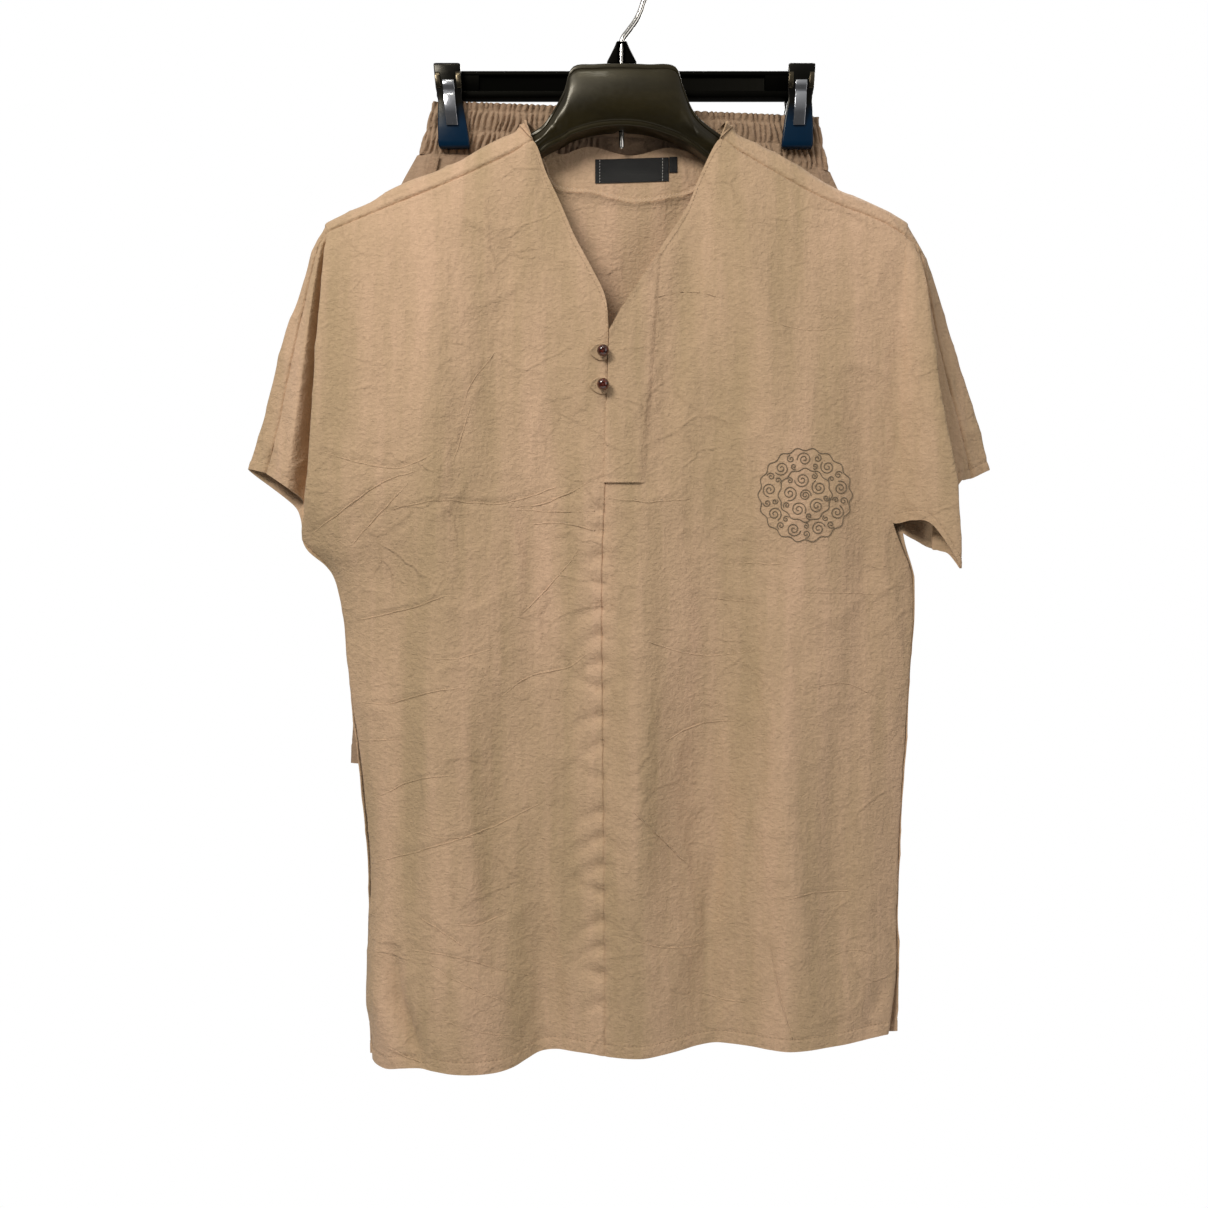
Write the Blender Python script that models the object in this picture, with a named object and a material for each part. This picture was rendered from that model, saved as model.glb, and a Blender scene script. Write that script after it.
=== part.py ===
"""A short-sleeve shirt on a moulded hanger, with the shorts of the set clipped behind it.

Sizes are in millimetres and the meshes in metres. X to the viewer's right, Y away from the viewer, Z up. The origin is where the
hook's loop bears on a rail, in the plane of the hook's shaft.
"""
import math

import bmesh
import bpy
import numpy as np

# Face tables hold x and z as they show from this eye, and y is the real depth of the point.
EYE = np.array([-13.3, -1150.0, -503.6])

MM = 0.001
WALL = 1.8  # cloth thickness
GAP = 0.3  # between two sewn pieces
ROWS = 20  # rows of a shirt panel from neck or shoulder to hem
ARM_ROW = 8  # the row that ends at the underarm
NECK_COLS = 6  # columns of a front panel that start on the V
SHOULDER_COLS = 10  # columns of a panel that start on the shoulder seam
SLEEVE_COLS = 10

# V neck edge from the shoulder seam to the bottom of the V: x, z, y
V_LEFT = [(-69, -140.2, -18), (-62.7, -156.7, -18.5), (-51.7, -179.4, -20), (-36, -215.5, -24),
          (-18, -249.3, -29), (-10.4, -268.9, -31), (-9.6, -288.6, -33)]
V_RIGHT = [(77.8, -138.6, -18), (66, -158.2, -18.5), (58.2, -179.4, -20), (43.3, -206.1, -23),
           (31.5, -222.6, -25), (15, -247.7, -29), (-2.3, -274.4, -32), (-9.6, -288.6, -33)]
# Centre front seam from the bottom of the V to the hem
CENTRE = [(-9.6, -288.6, -33), (-12, -400, -38), (-15, -480, -40), (-14, -640, -42), (-12.5, -858.5, -42)]
# Shoulder seam from neck to the top of the armhole
SEAM_LEFT = [(-69, -140.2, -18), (-98.8, -155.1, -18), (-142, -174.7, -18), (-185.2, -192, -18),
             (-228.3, -210.1, -18)]
SEAM_RIGHT = [(77.8, -138.6, -18), (99, -151.2, -18), (123.3, -165.3, -18), (159.4, -184.9, -18),
              (203.4, -202.2, -18), (222, -213, -18)]
# Ridge of the shoulder over the hanger: x, z
RIDGE_LEFT = [(-69, -130.5), (-91, -137), (-134.1, -160.6), (-173.4, -175.5), (-196.9, -190.4),
              (-220.5, -199.8), (-229.5, -206)]
RIDGE_RIGHT = [(77, -131), (97.4, -138.6), (132.8, -157.5), (168.1, -178.7), (191.6, -188.1),
               (215.2, -199.1), (223, -204.5)]
# Underarm to hem along the side seam
SIDE_LEFT = [(-249, -453, -25), (-232.3, -469.1, -22), (-222.1, -492.7, -20), (-216.6, -520.1, -20),
             (-213.4, -559.4, -20), (-208.7, -598.6, -20), (-201.7, -657.5, -20), (-197.7, -716.4, -20),
             (-197.9, -780, -20), (-197.4, -849, -20)]
SIDE_RIGHT = [(221.5, -448, -22), (227, -469.1, -20), (230.1, -500.5, -19), (227.7, -539.8, -18),
              (225.4, -579, -18), (221.5, -637.9, -18), (219.1, -677.1, -18), (216.9, -736, -18),
              (217.3, -794.9, -18), (216.4, -838.8, -18)]
# Hem of each front, from the centre outward
HEM_LEFT = [(-12.5, -858.5, -42), (-32.1, -855.3, -36), (-59.6, -853, -28), (-91, -869.5, -44),
            (-126.3, -873.4, -56), (-161.6, -867.9, -50), (-185.2, -866.3, -36), (-197.4, -849, -20)]
HEM_RIGHT = [(-12.5, -858.5, -42), (15, -860.8, -47), (46.4, -853.8, -36), (70, -847.5, -26),
             (97.4, -849.8, -33), (132.8, -855.3, -46), (168.1, -850.6, -40), (191.6, -845.9, -32),
             (216.4, -838.8, -18)]
# Hem of the back, left to right
HEM_BACK = [(-197.4, -849, -20), (-187, -847, -4), (-160, -846, 4), (-60, -846, 5), (60, -845, 5),
            (180, -840, 4), (206, -839, -3), (216.4, -838.8, -18)]

# Sleeve lines from the shoulder tip down to the sleeve's hem. Front: armhole fold, then out to the top seam
LEFT_TOP_SEAM = [(-236.5, -221, -15.5), (-244.5, -250, -13.5), (-255.4, -298, -12.5), (-267.6, -358.4, -12),
                 (-278.6, -400.8, -12)]
LEFT_FRONT_SLEEVE = [
    [(-228.3, -210.1, -18), (-231.5, -228, -22.5), (-238, -296, -32), (-243.5, -375, -36), (-247.5, -428, -35),
     (-249, -453, -25)],
    [(-231, -213, -17.2), (-232.5, -240, -18), (-235, -300, -19), (-239, -375, -20), (-249, -424, -21)],
    [(-234, -217.5, -16), (-240, -245, -14.5), (-248, -300, -13.5), (-256.5, -365, -13.5), (-263, -412, -15)],
    LEFT_TOP_SEAM]
# Back sleeve lines start with their points on the first three rows
LEFT_BACK_SLEEVE = [
    [(-228.3, -210.1, -18), (-229.5, -206, -11), (-229.5, -207, -3), (-228, -222, 4), (-232, -300, 6),
     (-238, -375, 0), (-244, -430, -12), (-249, -453, -25)],
    [(-231.5, -212.5, -17), (-234, -213, -9.5), (-236, -222, -1), (-238, -248, 3), (-242, -310, 5),
     (-247, -370, 2), (-253, -431, -9)],
    [(-234.5, -216, -16), (-238.5, -220, -8.5), (-243, -238, -2.5), (-248, -262, 1), (-257, -310, 3),
     (-264, -365, 2.5), (-268, -417, -3)],
    [(-236, -219, -15.6), (-242.5, -231, -9.5), (-248, -250, -7.5), (-254.5, -270, -6.3), (-266, -301.5, -5.6),
     (-272.5, -331, -5.2), (-280, -361, -5), (-291.9, -398.4, -6)],
    LEFT_TOP_SEAM]
RIGHT_TOP_SEAM = [(233.5, -223.5, -15), (240, -250, -14), (252.9, -315, -13.5), (266.2, -365, -13), (275.6, -405, -12)]
RIGHT_FRONT_SLEEVE = [
    [(222, -213, -18), (221, -240, -23), (219.1, -271.3, -26), (216.7, -359.2, -28), (214.5, -425, -28),
     (221.5, -448, -22)],
    [(224.5, -215.5, -18), (227, -240, -24.5), (231, -275, -31), (236, -350, -38), (240, -405, -42),
     (243, -440, -43)],
    [(228, -218.5, -17.6), (236.5, -234, -23), (245.5, -300, -35), (253.5, -358, -41), (263.5, -410, -45),
     (266.5, -475, -47)],
    [(230, -220.5, -16.8), (234.5, -240, -18.5), (240, -290, -24), (247, -350, -29), (255.5, -405, -33),
     (257, -464, -35)],
    [(231.7, -222, -16), (234.5, -244, -16.8), (236, -285, -19), (240, -345, -21), (245, -400, -22),
     (244, -440, -25)],
    RIGHT_TOP_SEAM]
RIGHT_BACK_SLEEVE = [
    [(222, -213, -18), (223, -205, -11), (223, -206, -3), (221, -222, 4), (222, -300, 6), (220, -375, 2),
     (219, -425, -10), (221.5, -448, -22)],
    [(226, -216, -17), (228, -212.5, -10), (229.5, -220, -2), (231, -245, 3), (236, -300, 5), (240, -360, 4),
     (244, -422, -5)],
    [(229.5, -219, -16), (233, -221, -9), (238, -238, -3), (243, -262, 0.5), (252, -310, 2), (260, -360, 2),
     (266, -410, -2)],
    [(232, -221.5, -15.2), (238.5, -232.5, -9.5), (244.5, -250, -7.5), (250, -266, -6.3), (259.5, -297, -5.6),
     (269, -329, -5.2), (279, -360, -5.2), (288.6, -398.5, -6)],
    RIGHT_TOP_SEAM]

# Neckband, from the left front end round the back neck to the right front end:
# x and z of the lower edge, x and z of the upper edge, y of each
BAND = [(-69, -140.2, -75.3, -123.7, -18, -18),
        (-76.5, -135.6, -74.2, -124.8, -11.5, -12),
        (-78.5, -134, -70.8, -127.6, -1, -2),
        (-74, -140, -66.5, -132.5, 4.8, 4.2),
        (-61.1, -159, -57.5, -142.5, 6.5, 7.5),
        (-50.9, -178.7, -47, -151, 7, 8.2),
        (-21.1, -182.6, -24.5, -145, 7.2, 8.6),
        (8.7, -189.6, 7.2, -152, 7.2, 8.6),
        (36.2, -186.5, 36, -145.7, 7.2, 8.6),
        (56.6, -181, 54.2, -148.8, 7, 8.2),
        (67, -163, 65, -143.5, 6.5, 7.5),
        (80.5, -141.5, 74, -133, 4.8, 4.2),
        (86, -134.8, 78.8, -127.8, -1, -2),
        (84, -136.6, 82, -125.4, -11.5, -12),
        (77.8, -138.6, 83.3, -124.5, -18, -18)]

# Arms of the shirt hanger: x, top z, bottom z, front y, back y
ARM_LEFT = [(-58, -128.4, -150.5, -14, 3), (-66, -134.5, -156, -11.5, 2), (-91, -147.5, -166, -10.5, 1),
            (-134, -168.5, -186, -10.5, 1), (-173, -184.5, -200, -11, 1), (-197, -198.5, -212, -10, 0.5),
            (-216, -210.5, -220, -8, 0)]
PLATE = [(-44.7, -105.6, -144), (-37.6, -86.8, -139.8), (-20, -84.9, -135), (-3.1, -84.5, -133.2),
         (-2.9, -84.5, -133.2), (2.9, -84.5, -133.2), (3.1, -84.5, -133.2), (20, -85, -135),
         (41.7, -86, -141.5), (48, -100.9, -144.5)]
ARM_RIGHT = [(56.6, -121.3, -150, -14, 3), (72, -134.5, -160, -11.5, 2), (97, -149.5, -168, -10.5, 1),
             (133, -166.5, -184, -10.5, 1), (168, -187.5, -203, -11, 1), (192, -198.5, -211, -10, 0.5),
             (211, -210, -219, -8, 0)]

# Hook wire from the foot up to the tip of the loop: x, z
WIRE_R = 2.25
HOOK_FOOT = [(0.5, -147), (0.5, -120), (0.5, -64.8), (1.7, -59.3), (5.6, -54.0), (11.9, -45.2),
             (15.6, -37.6)]
LOOP_R = 21.0

# Shorts: half width, drop from the top of the band, in the shorts' own tilted frame
SHORTS_MID = (4.0, 18.0, -110.0)
SHORTS_TILT = math.radians(2.3)
BAND_DROP = 42.0
GATHERS = 66
SHORTS_SIDE = [(165, 42.5), (180, 75), (190, 150), (196, 300), (200, 420), (202, 523)]
CROTCH = 300.0
LEG_DROP = 523.0


# Looks of each material: sRGB colour, roughness, metallic
LOOKS = {"shirt_cloth": ((184, 158, 128), 0.92, 0.0), "shorts_cloth": ((170, 143, 117), 0.92, 0.0),
         "hanger_black": ((24, 23, 19), 0.22, 0.0), "clip_black": ((14, 19, 25), 0.3, 0.0),
         "chrome": ((205, 205, 205), 0.12, 1.0), "bead_amber": ((84, 34, 14), 0.12, 0.0),
         "label_black": ((30, 29, 27), 0.75, 0.0)}


def look_of(name):
    if name.startswith(("waist", "shorts", "pocket")):
        return "shorts_cloth"
    if name == "hook" or name.endswith("spring"):
        return "chrome"
    if name.startswith("clip_left") or name.startswith("clip_right"):
        return "clip_black"
    if name in ("shirt_hanger", "clip_hanger", "gusset"):
        return "hanger_black"
    if name.startswith("button"):
        return "bead_amber"
    return "label_black" if name in ("neck_label", "size_tab") else "shirt_cloth"


def material_of(name):
    look = look_of(name)
    made = bpy.data.materials.get(look)
    if made is None:
        made = bpy.data.materials.new(look)
        made.use_nodes = True
        (r, g, b), rough, metal = LOOKS[look]
        shader = made.node_tree.nodes["Principled BSDF"]
        shader.inputs["Base Color"].default_value = tuple((c / 255) ** 2.2 for c in (r, g, b)) + (1.0,)
        shader.inputs["Roughness"].default_value = rough
        shader.inputs["Metallic"].default_value = metal
    return made


def seen(p):
    k = (EYE[1] - p[2]) / EYE[1]
    return np.array([EYE[0] + (p[0] - EYE[0]) * k, p[2], EYE[2] + (p[1] - EYE[2]) * k])


def smooth(points, n, even=True):
    """n + 1 points along a smooth curve through the points, at even spacing or at even parts of their count."""
    p = np.array(points, float)
    if len(p) == 2:
        return np.array([p[0] + (p[1] - p[0]) * i / n for i in range(n + 1)])
    a = np.vstack([2 * p[0] - p[1], p, 2 * p[-1] - p[-2]])
    fine = []
    for k in range(len(p) - 1):
        p0, p1, p2, p3 = a[k:k + 4]
        d1 = np.linalg.norm(p2 - p1)
        t1 = (p2 - p0) * d1 / max(1e-9, np.linalg.norm(p1 - p0) + d1)
        t2 = (p3 - p1) * d1 / max(1e-9, np.linalg.norm(p3 - p2) + d1)
        for s in np.linspace(0, 1, 17)[:-1]:
            fine.append((2 * s**3 - 3 * s**2 + 1) * p1 + (s**3 - 2 * s**2 + s) * t1
                        + (3 * s**2 - 2 * s**3) * p2 + (s**3 - s**2) * t2)
    fine = np.array(fine + [p[-1]])
    run = np.concatenate([[0], np.cumsum(np.linalg.norm(np.diff(fine, axis=0), axis=1))])
    if not even:
        run = np.arange(float(len(fine)))
    at = np.linspace(0, run[-1], n + 1)
    return np.array([np.interp(at, run, fine[:, c]) for c in range(fine.shape[1])]).T


def patch(top, bottom, first, last, sharp):
    """Grid[row][column] between four edges; depth follows the two side edges only near them."""
    n, m = len(top) - 1, len(first) - 1
    run = np.concatenate([[0], np.cumsum(np.linalg.norm(np.diff(bottom, axis=0), axis=1))])
    us = run / run[-1]
    grid = np.zeros((m + 1, n + 1, 3))
    for j in range(m + 1):
        v = j / m
        for i in range(n + 1):
            u = us[i]
            near = np.array([1 - u, 1 - u, (1 - u)**sharp[0]])
            far = np.array([u, u, u**sharp[1]])
            grid[j, i] = ((1 - v) * top[i] + v * bottom[i]
                          + near * (first[j] - (1 - v) * top[0] - v * bottom[0])
                          + far * (last[j] - (1 - v) * top[-1] - v * bottom[-1]))
    return grid


def front_grid(v_edge, seam, centre, side, hem, sleeve):
    """Columns run from the centre seam out to the armhole, then on through the sleeve to its top seam."""
    arm = smooth(sleeve[0], ARM_ROW)
    top = np.vstack([smooth(v_edge[::-1], NECK_COLS), smooth(seam, SHOULDER_COLS)[1:]])
    bottom = smooth(hem, NECK_COLS + SHOULDER_COLS)
    last = np.vstack([arm, smooth(side, ROWS - ARM_ROW)[1:]])
    body = patch(top, bottom, smooth(centre, ROWS), last, (1.5, 3.0))
    for j in range(ROWS + 1):
        for i in range(len(top)):
            u, v = i / (len(top) - 1), j / ROWS
            body[j, i, 2] -= 9 * max(0.0, math.sin(math.pi * u)) ** 0.8 * math.sin(math.pi * v**0.7)
    inward = -1 if hem[-1][0] > 0 else 1
    body[ROWS, -1] += (2.5 * inward, -2.0, -2.0)
    body[ROWS - 1, -1] += (0.6 * inward, 0, -0.8)
    return join_sleeve(body, sleeve)


def join_sleeve(body, sleeve):
    lines = [smooth(line, ARM_ROW) for line in sleeve]
    rows = []
    for j in range(ROWS + 1):
        row = [p for p in body[j]]
        if j <= ARM_ROW:
            row[-1] = lines[0][j]
            ring = smooth([line[j] for line in lines], SLEEVE_COLS, even=False)
            row += [p for p in ring[1:]]
        else:
            row += [None] * SLEEVE_COLS
        rows.append(row)
    return rows


def back_grid():
    """Columns run from the left sleeve's top seam across the back to the right one."""
    low = np.array([(b[0], b[1], b[4]) for b in BAND], float)
    sides = []
    for seam, ridge, neck, table, side in (
            (SEAM_LEFT, RIDGE_LEFT, low[:4], LEFT_BACK_SLEEVE, SIDE_LEFT),
            (SEAM_RIGHT, RIDGE_RIGHT, low[:-5:-1], RIGHT_BACK_SLEEVE, SIDE_RIGHT)):
        top = smooth(seam, SHOULDER_COLS)
        across = np.array(sorted(ridge), float)
        z = np.interp(top[:, 0], across[:, 0], across[:, 1])
        over = [top] + [np.stack([top[:, 0], z - drop, 0 * z + y], 1)
                        for y, drop in ((-11.5, 0.9), (0.5, 0.6), (5.2, 12))]
        for j in range(4):
            over[j][0] = neck[j]
        arm = np.vstack([np.array(table[0][:3], float), smooth(table[0][3:], ARM_ROW - 3)])
        for j in range(4):
            over[j][-1] = arm[j]
        edge = np.vstack([arm[3:], smooth(side, ROWS - ARM_ROW)[1:]])
        lines = [arm]
        for line in table[1:-1]:
            lines.append(np.vstack([np.array(line[:3], float), smooth(line[3:], ARM_ROW - 3)]))
        lines.append(smooth(table[-1], ARM_ROW))
        sleeve = [smooth([line[j] for line in lines], SLEEVE_COLS, even=False) for j in range(ARM_ROW + 1)]
        sides.append((over, edge, sleeve))
    (over_l, edge_l, sleeve_l), (over_r, edge_r, sleeve_r) = sides
    third = np.vstack([over_l[3][::-1], low[4:-4], over_r[3]])
    rest = patch(third, smooth(HEM_BACK, len(third) - 1), edge_l, edge_r, (9.0, 9.0))
    rows = []
    for j in range(ROWS + 1):
        if j < 3:
            row = list(over_l[j][::-1]) + [None] * (len(low) - 8) + list(over_r[j])
        else:
            row = list(rest[j - 3])
        if j <= ARM_ROW:
            row = list(sleeve_l[j][:0:-1]) + row + list(sleeve_r[j][1:])
        else:
            row = [None] * SLEEVE_COLS + row + [None] * SLEEVE_COLS
        rows.append(row)
    return rows


def key(p):
    return tuple(np.round(p, 2))


def quads_of(rows):
    m, n = len(rows), len(rows[0])
    found = []
    for j in range(m - 1):
        for i in range(n - 1):
            four = [(j, i), (j, i + 1), (j + 1, i + 1), (j + 1, i)]
            if all(rows[a][b] is not None for a, b in four):
                found.append(four)
    return found


def share_normals(panels):
    """One normal at each point of a garment, the same on both sides of every seam."""
    total = {}
    for rows, flip in panels:
        for four in quads_of(rows):
            p = [rows[a][b] for a, b in four]
            n = np.cross(p[2] - p[0], p[3] - p[1]) * (-1 if flip else 1)
            for q in p:
                total[key(q)] = total.get(key(q), 0) + n
    return {k: n / np.linalg.norm(n) for k, n in total.items()}


def solid(name, points, faces):
    mesh = bpy.data.meshes.new(name)
    mesh.from_pydata([tuple(float(c) * MM for c in p) for p in points], [], faces)
    made = bmesh.new()
    made.from_mesh(mesh)
    bmesh.ops.triangulate(made, faces=[f for f in made.faces if len(f.verts) > 3])
    bmesh.ops.recalc_face_normals(made, faces=made.faces)
    made.to_mesh(mesh)
    made.free()
    mesh.materials.append(material_of(name))
    mesh.shade_smooth()
    mesh.set_sharp_from_angle(angle=math.radians(40))
    item = bpy.data.objects.new(name, mesh)
    bpy.context.scene.collection.objects.link(item)
    return item


def cloth(name, rows, normals, flip=False, wall=WALL, gap=GAP):
    """A panel of even thickness about its grid, drawn back a little from its own edges."""
    quads = quads_of(rows)
    edges = {}
    for four in quads:
        for a, b in zip(four, four[1:] + four[:1]):
            edges[(a, b)] = edges.get((a, b), 0) + 1
    rim = [(a, b) for a, b in edges if (b, a) not in edges]
    at = {c: rows[c[0]][c[1]] for four in quads for c in four}
    pull = {}
    for four in quads:
        mid = sum(at[c] for c in four) / 4
        for a, b in zip(four, four[1:] + four[:1]):
            if (a, b) in edges and (b, a) not in edges:
                along = at[b] - at[a]
                along = along / np.linalg.norm(along)
                inward = mid - (at[a] + at[b]) / 2
                inward = inward - along * np.dot(inward, along)
                inward = inward / np.linalg.norm(inward)
                for c in (a, b):
                    pull.setdefault(c, []).append(inward)
    index, points = {}, []
    for c, p in at.items():
        n = normals[key(p)]
        step = np.zeros(3)
        for way in pull.get(c, []):
            if np.dot(step, way) < gap / 2 - 1e-6:
                step = step + way * (gap / 2 - np.dot(step, way))
        index[c] = len(points)
        points.append(p + step + n * wall / 2)
        points.append(p + step - n * wall / 2)
    faces = []
    for four in quads:
        outer = [index[c] for c in four]
        inner = [index[c] + 1 for c in four[::-1]]
        faces += [outer, inner]
    for a, b in rim:
        faces.append([index[b], index[a], index[a] + 1, index[b] + 1])
    return solid(name, points, faces)


def loft(name, rings):
    """A capped body through rings of equal count."""
    n = len(rings[0])
    points = [p for ring in rings for p in ring]
    faces = []
    for r in range(len(rings) - 1):
        for i in range(n):
            k = (i + 1) % n
            faces.append([r * n + i, r * n + k, (r + 1) * n + k, (r + 1) * n + i])
    faces += [list(range(n))[::-1], [(len(rings) - 1) * n + i for i in range(n)]]
    return solid(name, points, faces)


def wire(name, path, radius, sides=10):
    rings = []
    for k, p in enumerate(path):
        d = path[min(k + 1, len(path) - 1)] - path[max(k - 1, 0)]
        d = d / np.linalg.norm(d)
        across = np.cross(d, (0, 1, 0))
        across = across / np.linalg.norm(across)
        up = np.cross(across, d)
        rings.append([p + radius * (across * math.cos(t) + up * math.sin(t))
                      for t in np.linspace(0, 2 * math.pi, sides, endpoint=False)])
    return loft(name, rings)


def box_between(name, profile, y0, y1):
    """Outline in x and z, from depth y0 to y1."""
    return loft(name, [[np.array([x, y, z]) for x, z in profile] for y in (y0, y1)])


def shirt():
    left = [[None if p is None else seen(p) for p in row]
            for row in front_grid(V_LEFT, SEAM_LEFT, CENTRE, SIDE_LEFT, HEM_LEFT, LEFT_FRONT_SLEEVE)]
    right = [[None if p is None else seen(p) for p in row]
             for row in front_grid(V_RIGHT, SEAM_RIGHT, CENTRE, SIDE_RIGHT, HEM_RIGHT, RIGHT_FRONT_SLEEVE)]
    back = [[None if p is None else seen(p) for p in row] for row in back_grid()]
    band = []
    for t in (0, 0.33, 0.67, 1):
        band.append([seen((b[2] + (b[0] - b[2]) * t, b[3] + (b[1] - b[3]) * t, b[5] + (b[4] - b[5]) * t))
                     for b in BAND])
    normals = share_normals([(left, False), (right, True), (back, False), (band, False)])
    arm = NECK_COLS + SHOULDER_COLS
    for rows, way in ((left, -1), (right, 1)):
        down = np.array([0.42 * way, 0.0, -0.9])
        normals[key(rows[ARM_ROW][arm])] = down / np.linalg.norm(down)
    cloth("front_left", left, normals)
    cloth("front_right", right, normals, flip=True)
    cloth("back", back, normals)
    cloth("neckband", band, normals)
    return left, right, back, band


def surface_y(rows, x, z):
    """Depth of a front-facing grid over x and z, from the cell they fall in."""
    for four in quads_of(rows):
        p = [rows[a][b] for a, b in four]
        for t in ((0, 1, 2), (0, 2, 3)):
            a, b, c = (p[k] for k in t)
            m = np.array([[b[0] - a[0], c[0] - a[0]], [b[2] - a[2], c[2] - a[2]]])
            if abs(np.linalg.det(m)) < 1e-9:
                continue
            s = np.linalg.solve(m, np.array([x - a[0], z - a[2]]))
            if s[0] >= -0.02 and s[1] >= -0.02 and s.sum() <= 1.04:
                return float(a[1] + s[0] * (b[1] - a[1]) + s[1] * (c[1] - a[1]))
    return None


def placket(right):
    """Five-sided strip along the left edge of the right front, its head cut to the V."""
    rows = []
    for t in np.linspace(0, 1, 11):
        row = []
        for s in np.linspace(0, 1, 5):
            x0 = -9.0 - 3.0 * t
            x = x0 + (21.3 - x0) * s
            head = -290 + 45 * s
            z = head + (-408.7 - head) * t
            k = 0.97
            x, z = EYE[0] + (x - EYE[0]) * k, EYE[2] + (z - EYE[2]) * k
            y = surface_y(right, x, z)
            if y is None:
                y = surface_y(right, x + 3.0, z - 3.0)
            row.append(np.array([x, y - 0.5 * WALL - 0.6 - 0.6, z]))
        rows.append(row)
    normals = share_normals([(rows, True)])
    cloth("placket", rows, normals, flip=True, wall=1.2, gap=0.0)
    return rows


def beads(left):
    for name, z in (("upper", -305.0), ("lower", -331.7)):
        k = 0.967
        x, z = EYE[0] + (-14.0 - EYE[0]) * k, EYE[2] + (z - EYE[2]) * k
        tab = [(x - 11, z), (x - 7, z + 4.5), (x + 1.5, z + 5), (x + 1.5, z - 5), (x - 7, z - 4.5)]
        y = min(surface_y(left, min(a, -14.5), b) for a, b in tab) - 0.5 * WALL - 0.5
        box_between("loop_" + name, tab, y - 1.2, y)
        rings = []
        for a in np.linspace(-80, 80, 9):
            r, h = 4.7 * math.cos(math.radians(a)), 4.5 * math.sin(math.radians(a))
            rings.append([np.array([x + r * math.cos(t), y - 5.95 + h, z + r * math.sin(t)])
                          for t in np.linspace(0, 2 * math.pi, 14, endpoint=False)])
        loft("button_" + name, rings)


def labels(band):
    """Labels lie on the side of the neckband that faces the viewer."""
    for name, x0, x1, z0, z1, tilt in (("neck_label", -20.3, 37.8, -152.5, -171.5, 0.03),
                                       ("size_tab", 38.3, 44.5, -150.4, -163.0, 0.0)):
        rows = []
        for t in np.linspace(0, 1, 3):
            row = []
            for s in np.linspace(0, 1, 7 if x1 - x0 > 20 else 3):
                x = x0 + (x1 - x0) * s
                z = z0 + (z1 - z0) * t + tilt * (x - x0)
                y = surface_y(band, x, z)
                row.append(np.array([x, y - 0.5 * WALL - 0.3 - 0.3, z]))
            rows.append(row)
        cloth(name, rows, share_normals([(rows, True)]), flip=True, wall=0.6, gap=0.0)


def shirt_hanger():
    """A channel open at the back: front face, top wall and bottom wall, one section per station."""
    wall, rings = 2.4, []
    stations = [(x, zt, zb, yf, yb) for x, zt, zb, yf, yb in ARM_LEFT[::-1]]
    stations += [(x, zt, zb, -14, -3.2 if abs(x) < 3 else 3) for x, zt, zb in PLATE]
    stations += list(ARM_RIGHT)
    for x, zt, zb, yf, yb in stations:
        mid = (zt + zb) / 2
        section = [(yf + 2.0, zt), (yb, zt), (yb, zt - wall), (yf + wall + 0.6, zt - wall),
                   (yf + wall, zt - wall - 2), (yf + wall, mid), (yf + wall, zb + wall + 2),
                   (yf + wall + 0.6, zb + wall), (yb, zb + wall), (yb, zb), (yf + 2.0, zb),
                   (yf, zb + 1.2), (yf, zb + 4.0), (yf - 0.9, zb + 6.0), (yf - 1.6, mid),
                   (yf - 0.9, zt - 6.0), (yf, zt - 4.0), (yf, zt - 1.2)]
        rings.append([np.array([x, y, z]) for y, z in section])
    loft("shirt_hanger", rings)


def hook():
    path = [np.array([x, 0.0, z]) for x, z in smooth(HOOK_FOOT, 16)]
    centre = np.array([0.0, 0.0, -(LOOP_R - WIRE_R)])
    for a in np.linspace(-30, 215, 26):
        t = math.radians(a)
        path.append(centre + LOOP_R * np.array([math.cos(t), 0, math.sin(t)]))
    wire("hook", path, WIRE_R)


def clip_hanger():
    """Recessed bar with end posts, and a gusset cut away in front for the hook's shaft."""
    y0, y1 = 12.0, 24.0
    rings = []
    ends = [(-146, 0), (-112.5, 0), (-111.5, 3), (113.5, 3), (114.5, 0), (151, 0)]
    for x, cut in ends:
        section = [(y0, -80.5), (y0, -84.5), (y0 + cut, -85.5), (y0 + cut, -96.5), (y0, -97.5), (y0, -101.7),
                   (y1, -101.7), (y1, -97.5), (y1 - cut, -96.5), (y1 - cut, -85.5), (y1, -84.5), (y1, -80.5)]
        rings.append([np.array([x, y, z]) for y, z in section])
    loft("clip_hanger", rings)
    rings = []
    for z, half, rear in ((-80.2, 11.6, 20), (-79, 11.4, 20), (-66, 4.9, 8), (-63.5, 4.4, 6)):
        mid = 0.6
        section = [(-half, -4.6), (-2.75, -4.6), (-2.75, 2.8), (2.75, 2.8), (2.75, -4.6), (half, -4.6),
                   (half, rear), (-half, rear)]
        rings.append([np.array([mid + x, y, z]) for x, y in section])
    loft("gusset", rings)


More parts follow.
